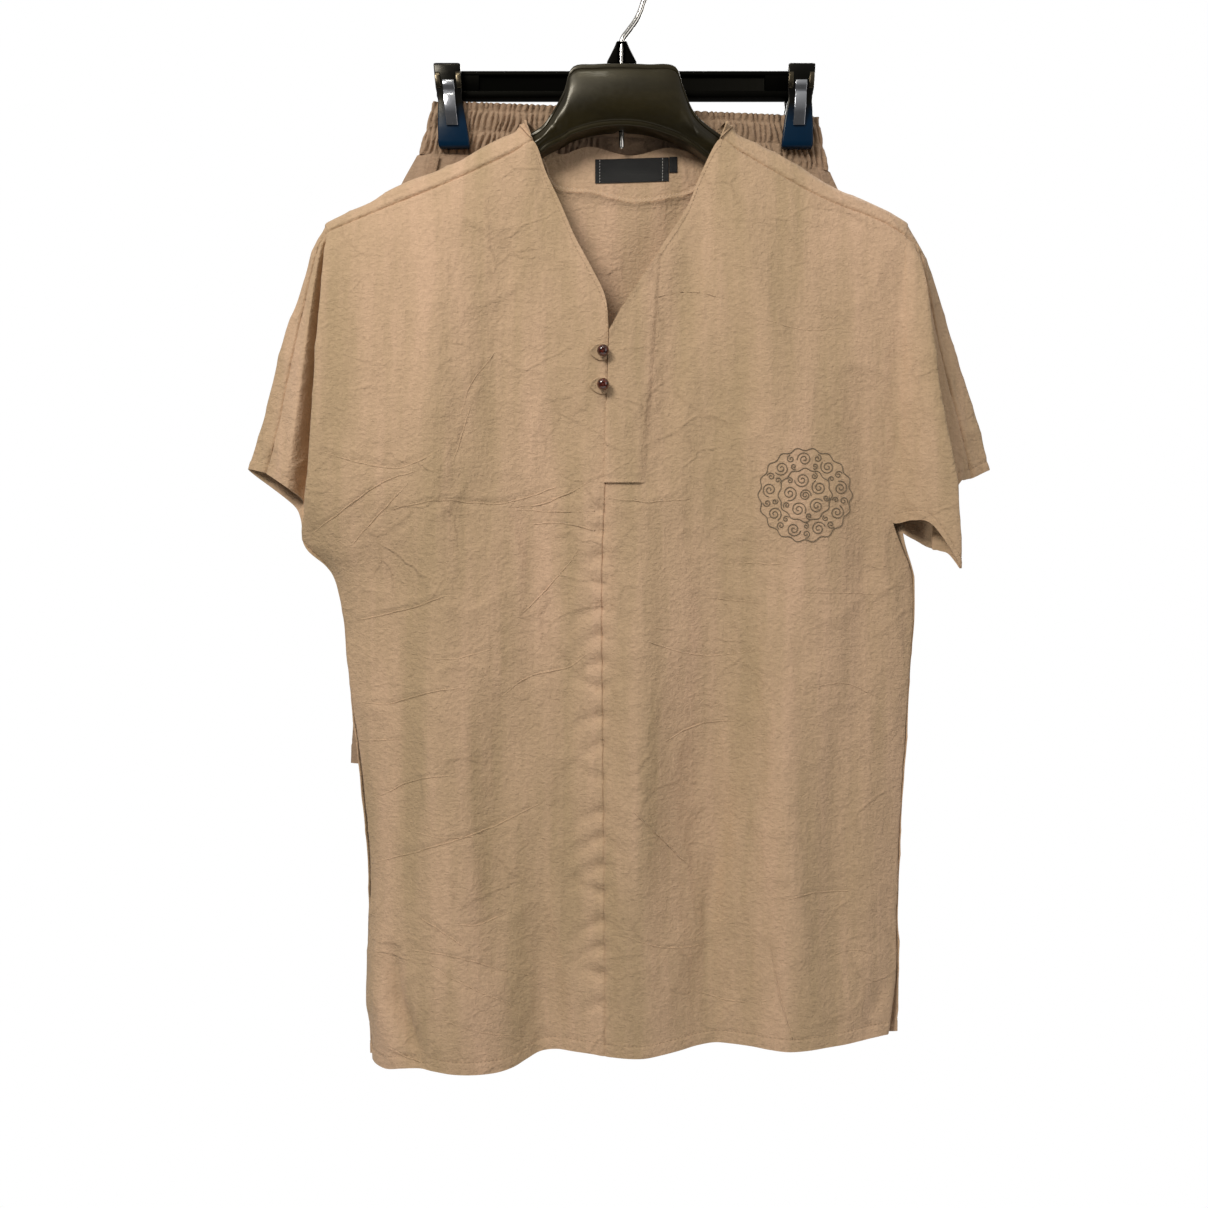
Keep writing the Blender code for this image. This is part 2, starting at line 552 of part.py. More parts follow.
def clips():
    """Front and back jaws, each a tapered plate with side ears, and a bright spring strip."""
    table = {"left": (-134.4, 0.09), "right": (141.1, -0.059)}
    for side, (x0, lean) in table.items():
        for part, yf, yb, grip in (("front", 4.6, 10.6, 1), ("back", 31.6, 25.4, -1)):
            rings = []
            for z, half, out, inn in ((-76.6, 10.6, 0, -1.1), (-98, 10.6, 0, -1.1), (-104, 9.6, 0.4, -1.3),
                                      (-112, 10.4, 0.2, -1.3), (-138, 12.3, 0, -1.3), (-143.3, 12.3, 1.5, -1)):
                x = x0 - lean * (z + 110)
                a, b = yf + out * grip, yb - inn * grip
                rings.append([np.array([x - half, a + 1.2 * grip, z]), np.array([x - half + 1.2, a, z]),
                              np.array([x + half - 1.2, a, z]), np.array([x + half, a + 1.2 * grip, z]),
                              np.array([x + half, b, z]), np.array([x - half, b, z])])
            loft("clip_" + side + "_" + part, rings)
        rings = []
        for z, out in ((-88.5, 0), (-90.5, 1.6), (-122, 1.6), (-126.5, 0.2)):
            x = x0 - lean * (z + 110)
            rings.append([np.array([x - 4, 4.2 - out, z]), np.array([x + 4, 4.2 - out, z]),
                          np.array([x + 4, 3.4 - out, z]), np.array([x - 4, 3.4 - out, z])])
        loft("clip_" + side + "_spring", rings)


def hang(a, drop, y):
    """Point of the shorts from its own frame: a across, drop down from the band's top, y deep."""
    c, s = math.cos(SHORTS_TILT), math.sin(SHORTS_TILT)
    return np.array([SHORTS_MID[0] + a * c - drop * s, y, SHORTS_MID[2] - drop * c - a * s])


def waistband():
    """A ring of gathers outside over a plain inside: frill, upper channel, lower channel."""
    count = GATHERS * 2
    rows = []
    for drop, half, swell, depth in ((0, 153.5, 1.5, 5.2), (6.5, 154.5, 0.5, 4.4), (8.0, 154.5, 1.9, 5.4),
                                     (20, 157, 2.1, 5.8), (23.0, 158, 0.5, 4.6), (25, 158.5, 2.0, 5.6),
                                     (40.0, 162.5, 1.6, 5.2), (BAND_DROP, 163, 0.4, 4.4)):
        row = []
        for k in range(count):
            t = 2 * math.pi * k / count
            f = abs(math.cos(t))**0.55 * (1 if math.cos(t) > 0 else -1)
            g = abs(math.sin(t))**0.35 * (1 if math.sin(t) > 0 else -1)
            out = (swell if k % 2 else -0.35 * swell) * 0.5
            row.append(hang((half + out) * f, drop, SHORTS_MID[1] - (depth + out * 0.9) * g))
        rows.append(row)
    inner = []
    for drop, half in ((BAND_DROP, 160.4), (0, 151.4)):
        inner.append([hang(half * abs(math.cos(t))**0.55 * (1 if math.cos(t) > 0 else -1), drop,
                           SHORTS_MID[1] - 3.2 * abs(math.sin(t))**0.35 * (1 if math.sin(t) > 0 else -1))
                      for t in np.linspace(0, 2 * math.pi, count, endpoint=False)])
    rings = rows + inner
    n = count
    points = [p for ring in rings for p in ring]
    faces = []
    for r in range(len(rings)):
        q = (r + 1) % len(rings)
        for i in range(n):
            k = (i + 1) % n
            faces.append([r * n + i, r * n + k, q * n + k, q * n + i])
    solid("waistband", points, faces)


def shorts():
    """Four leg panels hanging from the band, with soft folds from its gathers."""
    side = smooth([(a, d, 0) for a, d in SHORTS_SIDE], 14)
    grids = {}
    for lr in (-1, 1):
        for fb in ("front", "back"):
            rows = []
            for j in range(15):
                v = j / 14
                wide, drop = side[j][0], side[j][1]
                inner = 0.0 if drop < CROTCH else 1.3 + 8.0 * (drop - CROTCH) / (LEG_DROP - CROTCH)
                fork = min(1.0, max(0.0, (drop - CROTCH + 70) / 60))
                row = []
                for i in range(13):
                    u = i / 12
                    a = lr * (inner + (wide - inner) * u)
                    body = min(1.0, (1 - u) * 9)**0.6
                    body *= min(1.0, u * 9 + 1 - fork)**0.6
                    fold = math.sin(u * (21 + lr)) * (0.35 + 0.65 * v)
                    if fb == "front":
                        y = 19.0 - body * (6.0 + 0.9 * fold)
                    else:
                        y = 19.0 + body * (4.8 + 7.0 * v + 2.4 * fold)
                    row.append(hang(a, drop - 0.25, y))
                rows.append(row)
            grids[(lr, fb)] = rows
    panels = [(rows, (lr < 0) == (fb == "back")) for (lr, fb), rows in grids.items()]
    normals = share_normals(panels)
    for (lr, fb), rows in grids.items():
        name = "shorts_%s_%s" % (fb, "left" if lr < 0 else "right")
        cloth(name, rows, normals, flip=(lr < 0) == (fb == "back"), wall=1.6)
    return grids


def pockets(grids):
    """Welts laid on the fronts along the slanted pocket mouths."""
    for lr in (-1, 1):
        grid = grids[(lr, "front")]
        rows = []
        for t in np.linspace(0, 1, 11):
            row = []
            for s in (0, 0.5, 1):
                drop = 44.5 + 150 * t
                a = lr * (146 + 27 * t + 9 * s)
                p = hang(a, drop, 0)
                y = surface_y(grid, p[0], p[2])
                row.append(np.array([p[0], y - 0.8 - 0.8 - 0.5, p[2]]))
            rows.append(row)
        cloth("pocket_left" if lr < 0 else "pocket_right", rows,
              share_normals([(rows, lr > 0)]), flip=lr > 0, wall=1.0, gap=0.0)


for item in list(bpy.data.objects):
    bpy.data.objects.remove(item, do_unlink=True)
left, right, back, band = shirt()
placket(right)
beads(left)
labels(band)
shirt_hanger()
hook()
clip_hanger()
clips()
waistband()
pockets(shorts())
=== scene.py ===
"""Looks of the short-sleeve shirt on its moulded hanger and the shorts clipped behind it.

Sizes are in millimetres and finished meshes in metres. X to the viewer's right, Y away from the viewer, Z up.
"""
import math

import bmesh
import bpy
import numpy as np
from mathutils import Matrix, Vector, noise
from mathutils.bvhtree import BVHTree


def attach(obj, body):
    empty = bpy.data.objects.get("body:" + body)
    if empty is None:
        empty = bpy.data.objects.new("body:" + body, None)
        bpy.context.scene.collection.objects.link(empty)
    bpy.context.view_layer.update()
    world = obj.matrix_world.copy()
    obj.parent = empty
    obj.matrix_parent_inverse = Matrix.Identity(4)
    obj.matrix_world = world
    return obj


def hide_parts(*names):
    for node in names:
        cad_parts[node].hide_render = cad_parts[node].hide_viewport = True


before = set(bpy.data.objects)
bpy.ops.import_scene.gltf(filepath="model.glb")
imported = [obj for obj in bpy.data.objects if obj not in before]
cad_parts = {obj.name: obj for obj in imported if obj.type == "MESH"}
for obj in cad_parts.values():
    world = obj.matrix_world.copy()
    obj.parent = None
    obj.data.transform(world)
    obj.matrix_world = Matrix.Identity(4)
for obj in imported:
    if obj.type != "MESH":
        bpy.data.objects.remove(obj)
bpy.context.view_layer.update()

MM = 0.001
EYE = np.array([-13.3, -1150.0, -503.6])
BACKWARD = Vector((0, 1, 0))
PHOTO_SIDE = 1208
FOCAL_PX = 1465.0
PX_MM = 0.785  # one photo pixel at the depth of the hook
LEFT_EDGE = -487.4
TOP_EDGE = -29.5

ROWS = 20
ARM_ROW = 8
NECK_COLS = 6
SHOULDER_COLS = 10
SLEEVE_COLS = 12
ARM_COL = NECK_COLS + SHOULDER_COLS
CENTRE_X = -13  # the centre seam, to tell the left front from the right

# V neck edge from the shoulder seam to the bottom of the V: x, z, y
V_LEFT = [(-69, -140.2, -18), (-62.7, -156.7, -18.5), (-51.7, -179.4, -20), (-36, -215.5, -24),
          (-18, -249.3, -29), (-10.4, -268.9, -31), (-9.6, -288.6, -33)]
V_RIGHT = [(77.8, -138.6, -18), (66, -158.2, -18.5), (58.2, -179.4, -20), (43.3, -206.1, -23),
           (31.5, -222.6, -25), (15, -247.7, -29), (-2.3, -274.4, -32), (-9.6, -288.6, -33)]
# Centre front seam from the bottom of the V to the hem
CENTRE = [(-9.6, -288.6, -33), (-12, -400, -38), (-15, -480, -40), (-14, -640, -42), (-12.5, -858.5, -42)]
# Shoulder seam from neck to the top of the armhole
SEAM_LEFT = [(-69, -140.2, -18), (-98.8, -155.1, -18), (-142, -174.7, -18), (-185.2, -192, -18),
             (-228.3, -210.1, -18)]
SEAM_RIGHT = [(77.8, -138.6, -18), (99, -151.2, -18), (123.3, -165.3, -18), (159.4, -184.9, -18),
              (203.4, -202.2, -18), (222, -213, -18)]
# Ridge of the shoulder over the hanger: x, z
RIDGE_LEFT = [(-69, -130.5), (-91, -137), (-134.1, -160.6), (-173.4, -175.5), (-196.9, -190.4),
              (-220.5, -199.8), (-229.5, -206)]
RIDGE_RIGHT = [(77, -131), (97.4, -138.6), (132.8, -157.5), (168.1, -178.7), (191.6, -188.1),
               (215.2, -199.1), (223, -204.5)]
# Underarm to hem along the side seam
SIDE_LEFT = [(-249, -453, -25), (-232.3, -469.1, -22), (-222.1, -492.7, -20), (-216.6, -520.1, -20),
             (-213.4, -559.4, -20), (-208.7, -598.6, -20), (-201.7, -657.5, -20), (-197.7, -716.4, -20),
             (-197.9, -780, -20), (-196, -856, -20)]
SIDE_RIGHT = [(221.5, -448, -22), (227, -469.1, -20), (230.1, -500.5, -19), (227.7, -539.8, -18),
              (225.4, -579, -18), (221.5, -637.9, -18), (219.1, -677.1, -18), (216.9, -736, -18),
              (217.3, -794.9, -18), (216.4, -838.8, -18)]
# Hem of each front, from the centre outward
HEM_LEFT = [(-12.5, -858.5, -42), (-32.1, -855.3, -36), (-59.6, -853, -28), (-91, -869.5, -44),
            (-126.3, -873.4, -56), (-161.6, -867.9, -50), (-188, -867.0, -36), (-196, -856, -20)]
HEM_RIGHT = [(-12.5, -858.5, -42), (15, -860.8, -47), (46.4, -853.8, -36), (70, -847.5, -26),
             (97.4, -849.8, -33), (132.8, -855.3, -46), (168.1, -850.6, -40), (191.6, -845.9, -32),
             (216.4, -838.8, -18)]
# Hem of the back, left to right
HEM_BACK = [(-196, -856, -20), (-187, -847, -4), (-160, -846, 4), (-60, -846, 5), (60, -845, 5),
            (180, -840, 4), (206, -839, -3), (216.4, -838.8, -18)]

# Sleeve lines from the shoulder tip down to the sleeve's hem. Front: armhole fold, then out to the top seam
LEFT_TOP_SEAM = [(-236.5, -221, -15.5), (-244.5, -250, -13.5), (-255.4, -298, -12.5), (-267.6, -358.4, -12),
                 (-278.6, -400.8, -12)]
LEFT_FRONT_SLEEVE = [
    [(-228.3, -210.1, -18), (-231.5, -228, -22.5), (-238, -296, -32), (-243.5, -375, -36),
     (-247.5, -428, -35), (-249, -453, -25)],
    [(-231, -213, -17.2), (-233, -240, -9), (-236, -300, -4), (-240, -375, -3.5), (-249, -424, -11)],
    [(-234, -217.5, -16), (-239.5, -245, -18.5), (-247, -300, -22), (-255.5, -365, -24.5),
     (-262.5, -412, -24)],
    LEFT_TOP_SEAM]
# Back sleeve lines start with their points on the first three rows
LEFT_BACK_SLEEVE = [
    [(-228.3, -210.1, -18), (-229.5, -206, -11), (-229.5, -207, -3), (-228, -222, 4), (-232, -300, 6),
     (-238, -375, 0), (-244, -430, -12), (-249, -453, -25)],
    [(-231.5, -212.5, -17), (-234, -213, -9.5), (-236, -222, -1), (-238, -248, 3), (-242, -310, 5),
     (-247, -370, 2), (-253, -431, -9)],
    [(-234.5, -216, -16), (-238.5, -220, -8.5), (-243, -238, -2.5), (-248, -262, 1), (-257, -310, 3),
     (-264, -365, 2.5), (-268, -417, -3)],
    [(-236, -219, -15.6), (-242.5, -231, -9.5), (-248, -250, -7.5), (-254.5, -270, -6.3),
     (-266, -301.5, -5.6), (-272.5, -331, -5.2), (-280, -361, -5), (-291.9, -398.4, -6)],
    LEFT_TOP_SEAM]
RIGHT_TOP_SEAM = [(233.5, -223.5, -15), (240, -250, -14), (252.9, -315, -13.5), (266.2, -365, -13),
                  (275.6, -405, -12)]
RIGHT_FRONT_SLEEVE = [
    [(222, -213, -18), (221, -240, -23), (219.1, -271.3, -26), (216.7, -359.2, -28), (213.5, -420, -28),
     (213.8, -439.5, -27)],
    [(224.5, -215.5, -18), (227, -240, -24.5), (231, -275, -31), (236, -350, -38), (240, -405, -42),
     (243, -440, -43)],
    [(228, -218.5, -17.6), (236.5, -234, -23), (245.5, -300, -35), (253.5, -358, -41), (263.5, -410, -45),
     (266.5, -475, -47)],
    [(230, -220.5, -16.8), (234.5, -240, -18.5), (240, -290, -24), (247, -350, -29), (255.5, -405, -33),
     (257, -464, -35)],
    [(231.7, -222, -16), (234.5, -244, -16.8), (236, -285, -19), (240, -345, -21), (244, -405, -22),
     (245, -458, -26)],
    [(232.8, -222.3, -15.8), (237, -244, -15.6), (243, -285, -16.5), (252, -345, -17.5), (262, -396, -18),
     (265.5, -409, -18.5)],
    RIGHT_TOP_SEAM]
RIGHT_BACK_SLEEVE = [
    [(222, -213, -18), (223, -205, -11), (223, -206, -3), (221, -222, 4), (222, -300, 6), (220, -375, 2),
     (219, -425, -10), (221.5, -448, -22)],
    [(226, -216, -17), (228, -212.5, -10), (229.5, -220, -2), (231, -245, 3), (235, -300, 5), (241, -370, 2),
     (249.5, -459, -15)],
    [(229.5, -219, -16), (233, -221, -9), (238, -238, -3), (243, -262, 0.5), (252, -310, 2), (260, -360, 2),
     (266.5, -407, -2)],
    [(232, -221.5, -15.2), (238.5, -232.5, -9.5), (244.5, -250, -7.5), (250, -266, -6.3), (259.5, -297, -5.6),
     (269, -329, -5.2), (279, -360, -5.2), (288.6, -398.5, -6)],
    RIGHT_TOP_SEAM]

# Neckband from the left front end round the back neck: x and z of the lower and the upper edge, y of each
BAND = [(-69, -140.2, -75.3, -123.7, -18, -18),
        (-77.5, -131.5, -74.6, -124.6, -11.5, -12),
        (-80, -130.5, -72.2, -126.4, -1, -2),
        (-74, -140, -66.5, -132.5, 4.8, 4.2),
        (-61.1, -159, -57.5, -142.5, 6.5, 7.5),
        (-50.9, -178.7, -47, -151, 7, 8.2),
        (-21.1, -182.6, -24.5, -145, 7.2, 8.6),
        (8.7, -189.6, 7.2, -152, 7.2, 8.6),
        (36.2, -186.5, 36, -145.7, 7.2, 8.6),
        (56.6, -181, 54.2, -148.8, 7, 8.2),
        (67, -163, 65, -143.5, 6.5, 7.5),
        (80.5, -141.5, 74, -133, 4.8, 4.2),
        (88, -131.2, 80.2, -127.0, -1, -2),
        (85.5, -132.2, 82.4, -125.2, -11.5, -12),
        (77.8, -138.6, 83.3, -124.5, -18, -18)]

# Arms and plate of the shirt hanger: x, top z, bottom z, front y, back y
ARM_LEFT = [(-58, -128.4, -150.5, -14, 3), (-66, -134.5, -156, -11.5, 2), (-91, -147.5, -166, -10.5, 1),
            (-134, -168.5, -186, -10.5, 1), (-173, -184.5, -200, -11, 1), (-197, -198.5, -212, -10, 0.5),
            (-216, -210.5, -220, -8, 0)]
PLATE = [(-44.7, -105.6, -144), (-37.6, -86.8, -139.8), (-20, -84.9, -135), (0, -84.5, -133.2),
         (20, -85, -135), (41.7, -86, -141.5), (48, -100.9, -144.5)]
ARM_RIGHT = [(56.6, -121.3, -150, -14, 3), (72, -134.5, -160, -11.5, 2), (97, -149.5, -168, -10.5, 1),
             (133, -166.5, -184, -10.5, 1), (168, -187.5, -203, -11, 1), (192, -198.5, -211, -10, 0.5),
             (211, -210, -219, -8, 0)]

WIRE_R = 2.25
HOOK_FOOT = [(0.5, -147), (0.5, -120), (0.5, -64.8), (1.7, -59.3), (5.6, -54.0), (11.9, -45.2),
             (15.6, -37.6)]
LOOP_R = 21.0

SHORTS_MID = (4.0, 18.0, -110.0)
SHORTS_TILT = math.radians(2.3)
SHORTS_SIDE = [(165, 42.5), (180, 75), (190, 150), (196, 300), (197.5, 420), (198, 529)]
CROTCH = 300.0
LEG_DROP = 529.0
LEG_ROWS = 14
LEG_COLS = 12

CLOTH = 0.9  # thickness of one layer
HEM_DEPTH = 9.4
SLEEVE_HEM = 7.4
SHORTS_HEM = 16.0
HEM_STITCH = (3.1, 2.3, 0.42)  # pitch, length and thickness

# Hard creases pressed into the fronts, as they lie in the photo: depth, width, pixels
CREASES = [
    (1.5, 3.6, [(319, 452), (396, 468), (439, 451)]),
    (1.3, 3.4, [(312, 534), (383, 482), (421, 470)]),
    (1.4, 3.2, [(383, 512), (434, 501), (504, 503), (560, 486)]),
    (1.0, 3.2, [(453, 463), (472, 403)]),
    (1.2, 3.0, [(351, 546), (408, 483)]),
    (1.5, 3.4, [(355, 621), (416, 607), (447, 596), (457, 599)]),
    (1.3, 3.0, [(357, 702), (388, 704), (429, 693), (465, 687)]),
    (0.9, 2.8, [(357, 741), (406, 739)]),
    (1.2, 3.2, [(373, 799), (416, 780), (460, 775)]),
    (1.5, 3.4, [(372, 863), (420, 851), (483, 831), (543, 802)]),
    (1.6, 3.2, [(416, 915), (470, 951)]),
    (1.3, 3.0, [(455, 925), (478, 925), (512, 911)]),
    (1.4, 3.2, [(409, 949), (462, 959), (499, 969), (541, 978)]),
    (1.2, 3.0, [(424, 959), (447, 976), (501, 1001), (527, 1010)]),
    (2.2, 3.4, [(386, 1047), (404, 1056), (424, 1063)]),
    (1.1, 3.0, [(632, 810), (688, 865)]),
    (1.3, 3.2, [(777, 903), (810, 894), (853, 890)]),
    (1.2, 3.2, [(768, 930), (779, 994), (794, 1046)]),
    (0.9, 2.8, [(722, 563), (769, 564), (798, 567)]),
    (0.9, 2.8, [(700, 597), (767, 604)]),
    (0.8, 2.8, [(769, 592), (894, 594)]),
    (1.0, 2.8, [(506, 508), (541, 504), (563, 496), (590, 482)]),
    (0.8, 2.6, [(506, 509), (560, 512), (595, 511)]),
    (0.8, 2.6, [(528, 525), (560, 523), (595, 531)]),
    (1.0, 2.8, [(522, 615), (552, 583), (571, 561), (582, 544)]),
    (0.9, 2.8, [(498, 700), (530, 676), (566, 668), (594, 650)]),
    (0.8, 2.6, [(460, 417), (471, 385), (495, 352)]),
    (0.9, 2.8, [(404, 652), (446, 660), (498, 648)]),
    (0.8, 2.6, [(392, 826), (440, 838), (506, 833)]),
    (0.9, 2.8, [(440, 1020), (486, 1034), (530, 1036)]),
    (0.8, 2.6, [(602, 498), (650, 502), (694, 499)]),
    (0.8, 2.6, [(640, 640), (700, 655), (764, 650)]),
    (0.9, 2.8, [(664, 742), (700, 724), (748, 720)]),
    (0.8, 2.6, [(800, 690), (846, 684), (884, 700)]),
    (0.9, 2.8, [(618, 934), (664, 948), (712, 944)]),
    (0.8, 2.6, [(690, 990), (742, 1002), (786, 998)]),
    (0.8, 2.6, [(820, 962), (852, 950), (880, 956)]),
    (0.8, 2.6, [(760, 318), (806, 330), (850, 326)]),
    (0.8, 2.6, [(642, 300), (690, 292), (732, 300)]),
]
# Soft folds of the fronts: height, width, pixels
FOLDS = [
    (-2.6, 20, [(520, 190), (500, 320), (492, 470)]),
    (2.2, 16, [(438, 230), (430, 420), (440, 620), (428, 820)]),
    (-2.6, 18, [(395, 560), (398, 760), (400, 960)]),
    (-3.2, 20, [(505, 690), (498, 820), (492, 960)]),
    (2.2, 14, [(548, 640), (545, 800), (556, 960)]),
    (-2.4, 16, [(700, 210), (672, 360), (660, 470)]),
    (2.0, 16, [(735, 180), (765, 330), (770, 430)]),
    (-3.2, 26, [(700, 700), (700, 800), (690, 900)]),
    (2.2, 16, [(640, 560), (640, 760), (630, 980)]),
    (-2.4, 14, [(862, 380), (866, 560), (858, 760)]),
    (2.2, 14, [(775, 640), (782, 800), (800, 1000)]),
    (-2.2, 16, [(840, 720), (838, 900), (846, 1010)]),
    (-3.6, 6, [(390, 950), (396, 1000), (422, 1064)]),
    (2.4, 9, [(378, 940), (380, 1000), (396, 1066)]),
    (-1.8, 7, [(728, 790), (714, 880), (702, 990)]),
    (1.6, 9, [(560, 820), (562, 920), (572, 1010)]),
    (-1.6, 8, [(884, 980), (876, 1010), (862, 1040)]),
]
# Puckers that pull into the centre seam: pixel height, reach, depth, rise
CENTRE_PX = 600
PUCKER_DEPTH = 1.7
PUCKER_WIDTH = 4.8
PUCKERS = [(508, 22, 1.0, 6), (531, 34, 1.2, -8), (556, 40, 1.4, 14), (583, 36, 1.1, -12),
           (607, 44, 1.5, 16), (634, 40, 1.4, 18), (662, 34, 1.6, 12), (688, 46, 1.4, -14),
           (716, 38, 1.5, 10), (744, 36, 1.2, 18), (778, 26, 0.9, -10), (812, 38, 1.3, 12),
           (838, 44, 1.5, 16), (866, 36, 1.5, 12), (893, 42, 1.4, -14), (921, 34, 1.5, 14),
           (948, 40, 1.4, 10), (975, 38, 1.3, -10), (1003, 26, 1.1, 8)]
# Creases of the back, seen from the front's side: depth, width, x and z
BACK_CREASES = [
    (1.5, 3.6, [(-150, -330), (-90, -318), (-40, -332)]),
    (1.4, 3.4, [(120, -360), (60, -395), (10, -388)]),
    (1.6, 3.8, [(-180, -520), (-110, -505), (-60, -515)]),
    (1.2, 3.2, [(170, -560), (110, -548), (60, -556)]),
    (1.5, 3.6, [(-170, -640), (-95, -655), (-35, -640)]),
    (1.4, 3.2, [(40, -700), (105, -716), (180, -702)]),
    (1.6, 3.6, [(-120, -770), (-60, -752), (10, -764)]),
    (1.3, 3.4, [(80, -800), (140, -785)]),
    (1.2, 3.0, [(-30, -250), (30, -262), (80, -250)]),
]
BACK_FOLDS = [
    (2.6, 20, [(-120, -230), (-130, -420), (-118, -640), (-126, -840)]),
    (-2.4, 18, [(-60, -230), (-66, -480), (-58, -840)]),
    (2.8, 22, [(8, -300), (2, -560), (12, -840)]),
    (-2.4, 16, [(70, -240), (78, -520), (66, -840)]),
    (2.6, 20, [(140, -240), (150, -480), (138, -840)]),
]

# Beads as they show, how much nearer they hang, and the middle of the round motif
BEAD_X = -14.0
BEAD_Z = (-305.0, -331.7)
BEAD_NEARER = 0.967
MOTIF_PX = (805, 495)

# Placket: across at its head and at its foot, its foot, and its rows and columns
PLACKET_TOP_X = (-8.6, 33.0)
PLACKET_FOOT_X = (-12.0, 20.5)
PLACKET_FOOT = -408.4
PLACKET_ROWS = 90
PLACKET_COLS = 27

BAND_COLUMNS = 1120
BAND_ROUND = 0.64  # metres round the band
# Drop from the band's top, half width, half depth, and how freely the cloth gathers there
BAND_ROWS = [(0, 153.2, 4.9, 1.0), (1.6, 153.4, 4.9, 0.95), (3.4, 153.7, 4.7, 0.8), (5.4, 154.1, 4.3, 0.5),
             (6.5, 154.3, 4.1, 0.22), (7.3, 154.4, 4.5, 0.5), (8.6, 154.6, 5.0, 0.85), (11, 155.1, 5.3, 1.0),
             (14, 155.7, 5.5, 1.0), (17, 156.3, 5.4, 1.0), (20, 156.9, 5.1, 0.85), (22, 157.4, 4.6, 0.5),
             (23, 157.8, 4.3, 0.22), (24, 158.0, 4.7, 0.5), (25.4, 158.4, 5.1, 0.85), (28.5, 159.3, 5.3, 1.0),
             (32, 160.3, 5.3, 1.0), (36, 161.4, 5.1, 0.95), (39, 162.1, 4.8, 0.8), (41, 162.6, 4.4, 0.4),
             (42, 162.8, 4.2, 0.15)]
BAND_INSIDE = [(42, 160.4, 3.2, 0), (30, 158.0, 3.2, 0), (12, 154.0, 3.2, 0), (0, 151.4, 3.2, 0)]

# Creases of the shorts: depth, width, x and z
SHORTS_CREASES = [
    (1.4, 3.6, [(-150, -250), (-90, -262), (-30, -250)]),
    (1.3, 3.4, [(150, -300), (100, -322), (40, -330)]),
    (1.5, 3.8, [(-190, -420), (-130, -400), (-80, -410)]),
    (1.3, 3.2, [(170, -460), (110, -440), (50, -452)]),
    (1.4, 3.4, [(-160, -540), (-100, -560), (-50, -548)]),
    (1.2, 3.2, [(60, -560), (120, -580), (180, -566)]),
]

# Distance from the edge of the moulding, and how far the face stands out there
RIM = [(0.0, -1.8), (0.35, -0.9), (0.9, -0.3), (1.7, 0.0), (3.5, 0.0), (4.1, -0.45), (4.7, 0.15), (5.8, 0.75),
       (7.6, 1.2)]
# Ribs inside the shirt hanger: distance across from its middle
RIBS_AT = [18, 32, 46, 62, 78, 96, 116, 136, 156, 176, 196]

# Bar: front and back, top, foot, then x, depth of its recess and drop of its ends
BAR_DEPTH = (12.0, 24.0)
BAR_TOP = -80.5
BAR_FOOT = -101.7
BAR_STATIONS = [(-146, 0.0, 4.0), (-145, 0.0, 2.6), (-141, 0.0, 1.0), (-134, 0.0, 0.0), (-112.6, 0.0, 0.0),
                (-112.0, 3.0, 0.0), (-111.6, 3.2, 0.0), (113.6, 3.2, 0.0), (114.0, 3.0, 0.0),
                (114.6, 0.0, 0.0), (137, 0.0, 0.0), (145, 0.0, 1.0), (150, 0.0, 2.6), (151, 0.0, 4.0)]
# Gusset: z, half width, rear
GUSSET_STATIONS = [(-80.2, 11.5, 20), (-79.6, 11.6, 20), (-78.6, 11.3, 19.8), (-74, 8.9, 16), (-70, 6.9, 12),
                   (-66, 5.0, 8), (-64.2, 4.4, 6.6), (-63.5, 3.9, 6)]

# Clips: middle across and lean. Jaw: z, half width, then how far it stands out and in
CLIPS = {"left": (-134.4, 0.09), "right": (141.1, -0.059)}
JAW = [(-76.6, 9.6, 1.3, -1.1), (-77.2, 10.4, 0.5, -1.1), (-78.4, 10.6, 0.1, -1.1), (-86, 10.6, 0, -1.1),
       (-96, 10.5, 0, -1.1), (-99.5, 10.1, 0.3, -1.2), (-103, 9.6, 0.5, -1.3), (-107, 9.6, 0.5, -1.3),
       (-112, 10.2, 0.3, -1.3), (-125, 11.4, 0.1, -1.3), (-138, 12.3, 0, -1.3), (-141.4, 12.3, 0.5, -1.2),
       (-142.8, 11.9, 1.2, -1.0), (-143.3, 11.2, 2.0, -0.9)]
STRIP_LINE = [(-90.4, -0.5), (-90.8, 0.6), (-92, 1.2), (-95.5, 1.3), (-97.4, 0.6), (-99.6, 0.5),
              (-100.6, 1.4), (-103, 2.1), (-108, 2.7), (-113, 2.8), (-117, 2.3), (-120.5, 1.5),
              (-124, 1.0), (-126.4, 0.2)]
EAR_LINE = [(-84.2, 0.4), (-85.4, 1.3), (-88, 1.7), (-92, 1.8), (-95.5, 1.4), (-97, 0.4)]

# Labels: left, right, top, foot, tilt and columns
LABELS = (("neck_label", -20.3, 37.8, -152.5, -171.5, 0.03, 25),
          ("size_tab", 38.3, 44.5, -150.4, -163.0, 0.0, 7))

FLOOR_R = 1650
FLOOR_Z = (-1770, -1750)


def px(x, y):
    """Where a photo pixel lies on the plane of the hook: x and z."""
    return np.array([LEFT_EDGE + PX_MM * x, TOP_EDGE - PX_MM * y])


def seen(p):
    """Real point of a point given as it shows: x, z and its depth."""
    k = (EYE[1] - p[2]) / EYE[1]
    return np.array([EYE[0] + (p[0] - EYE[0]) * k, p[2], EYE[2] + (p[1] - EYE[2]) * k])


def shown(points):
    """x and z on the hook's plane of real points."""
    k = (EYE[1] - points[..., 1]) / EYE[1]
    return np.stack([EYE[0] + (points[..., 0] - EYE[0]) / k, EYE[2] + (points[..., 2] - EYE[2]) / k], -1)


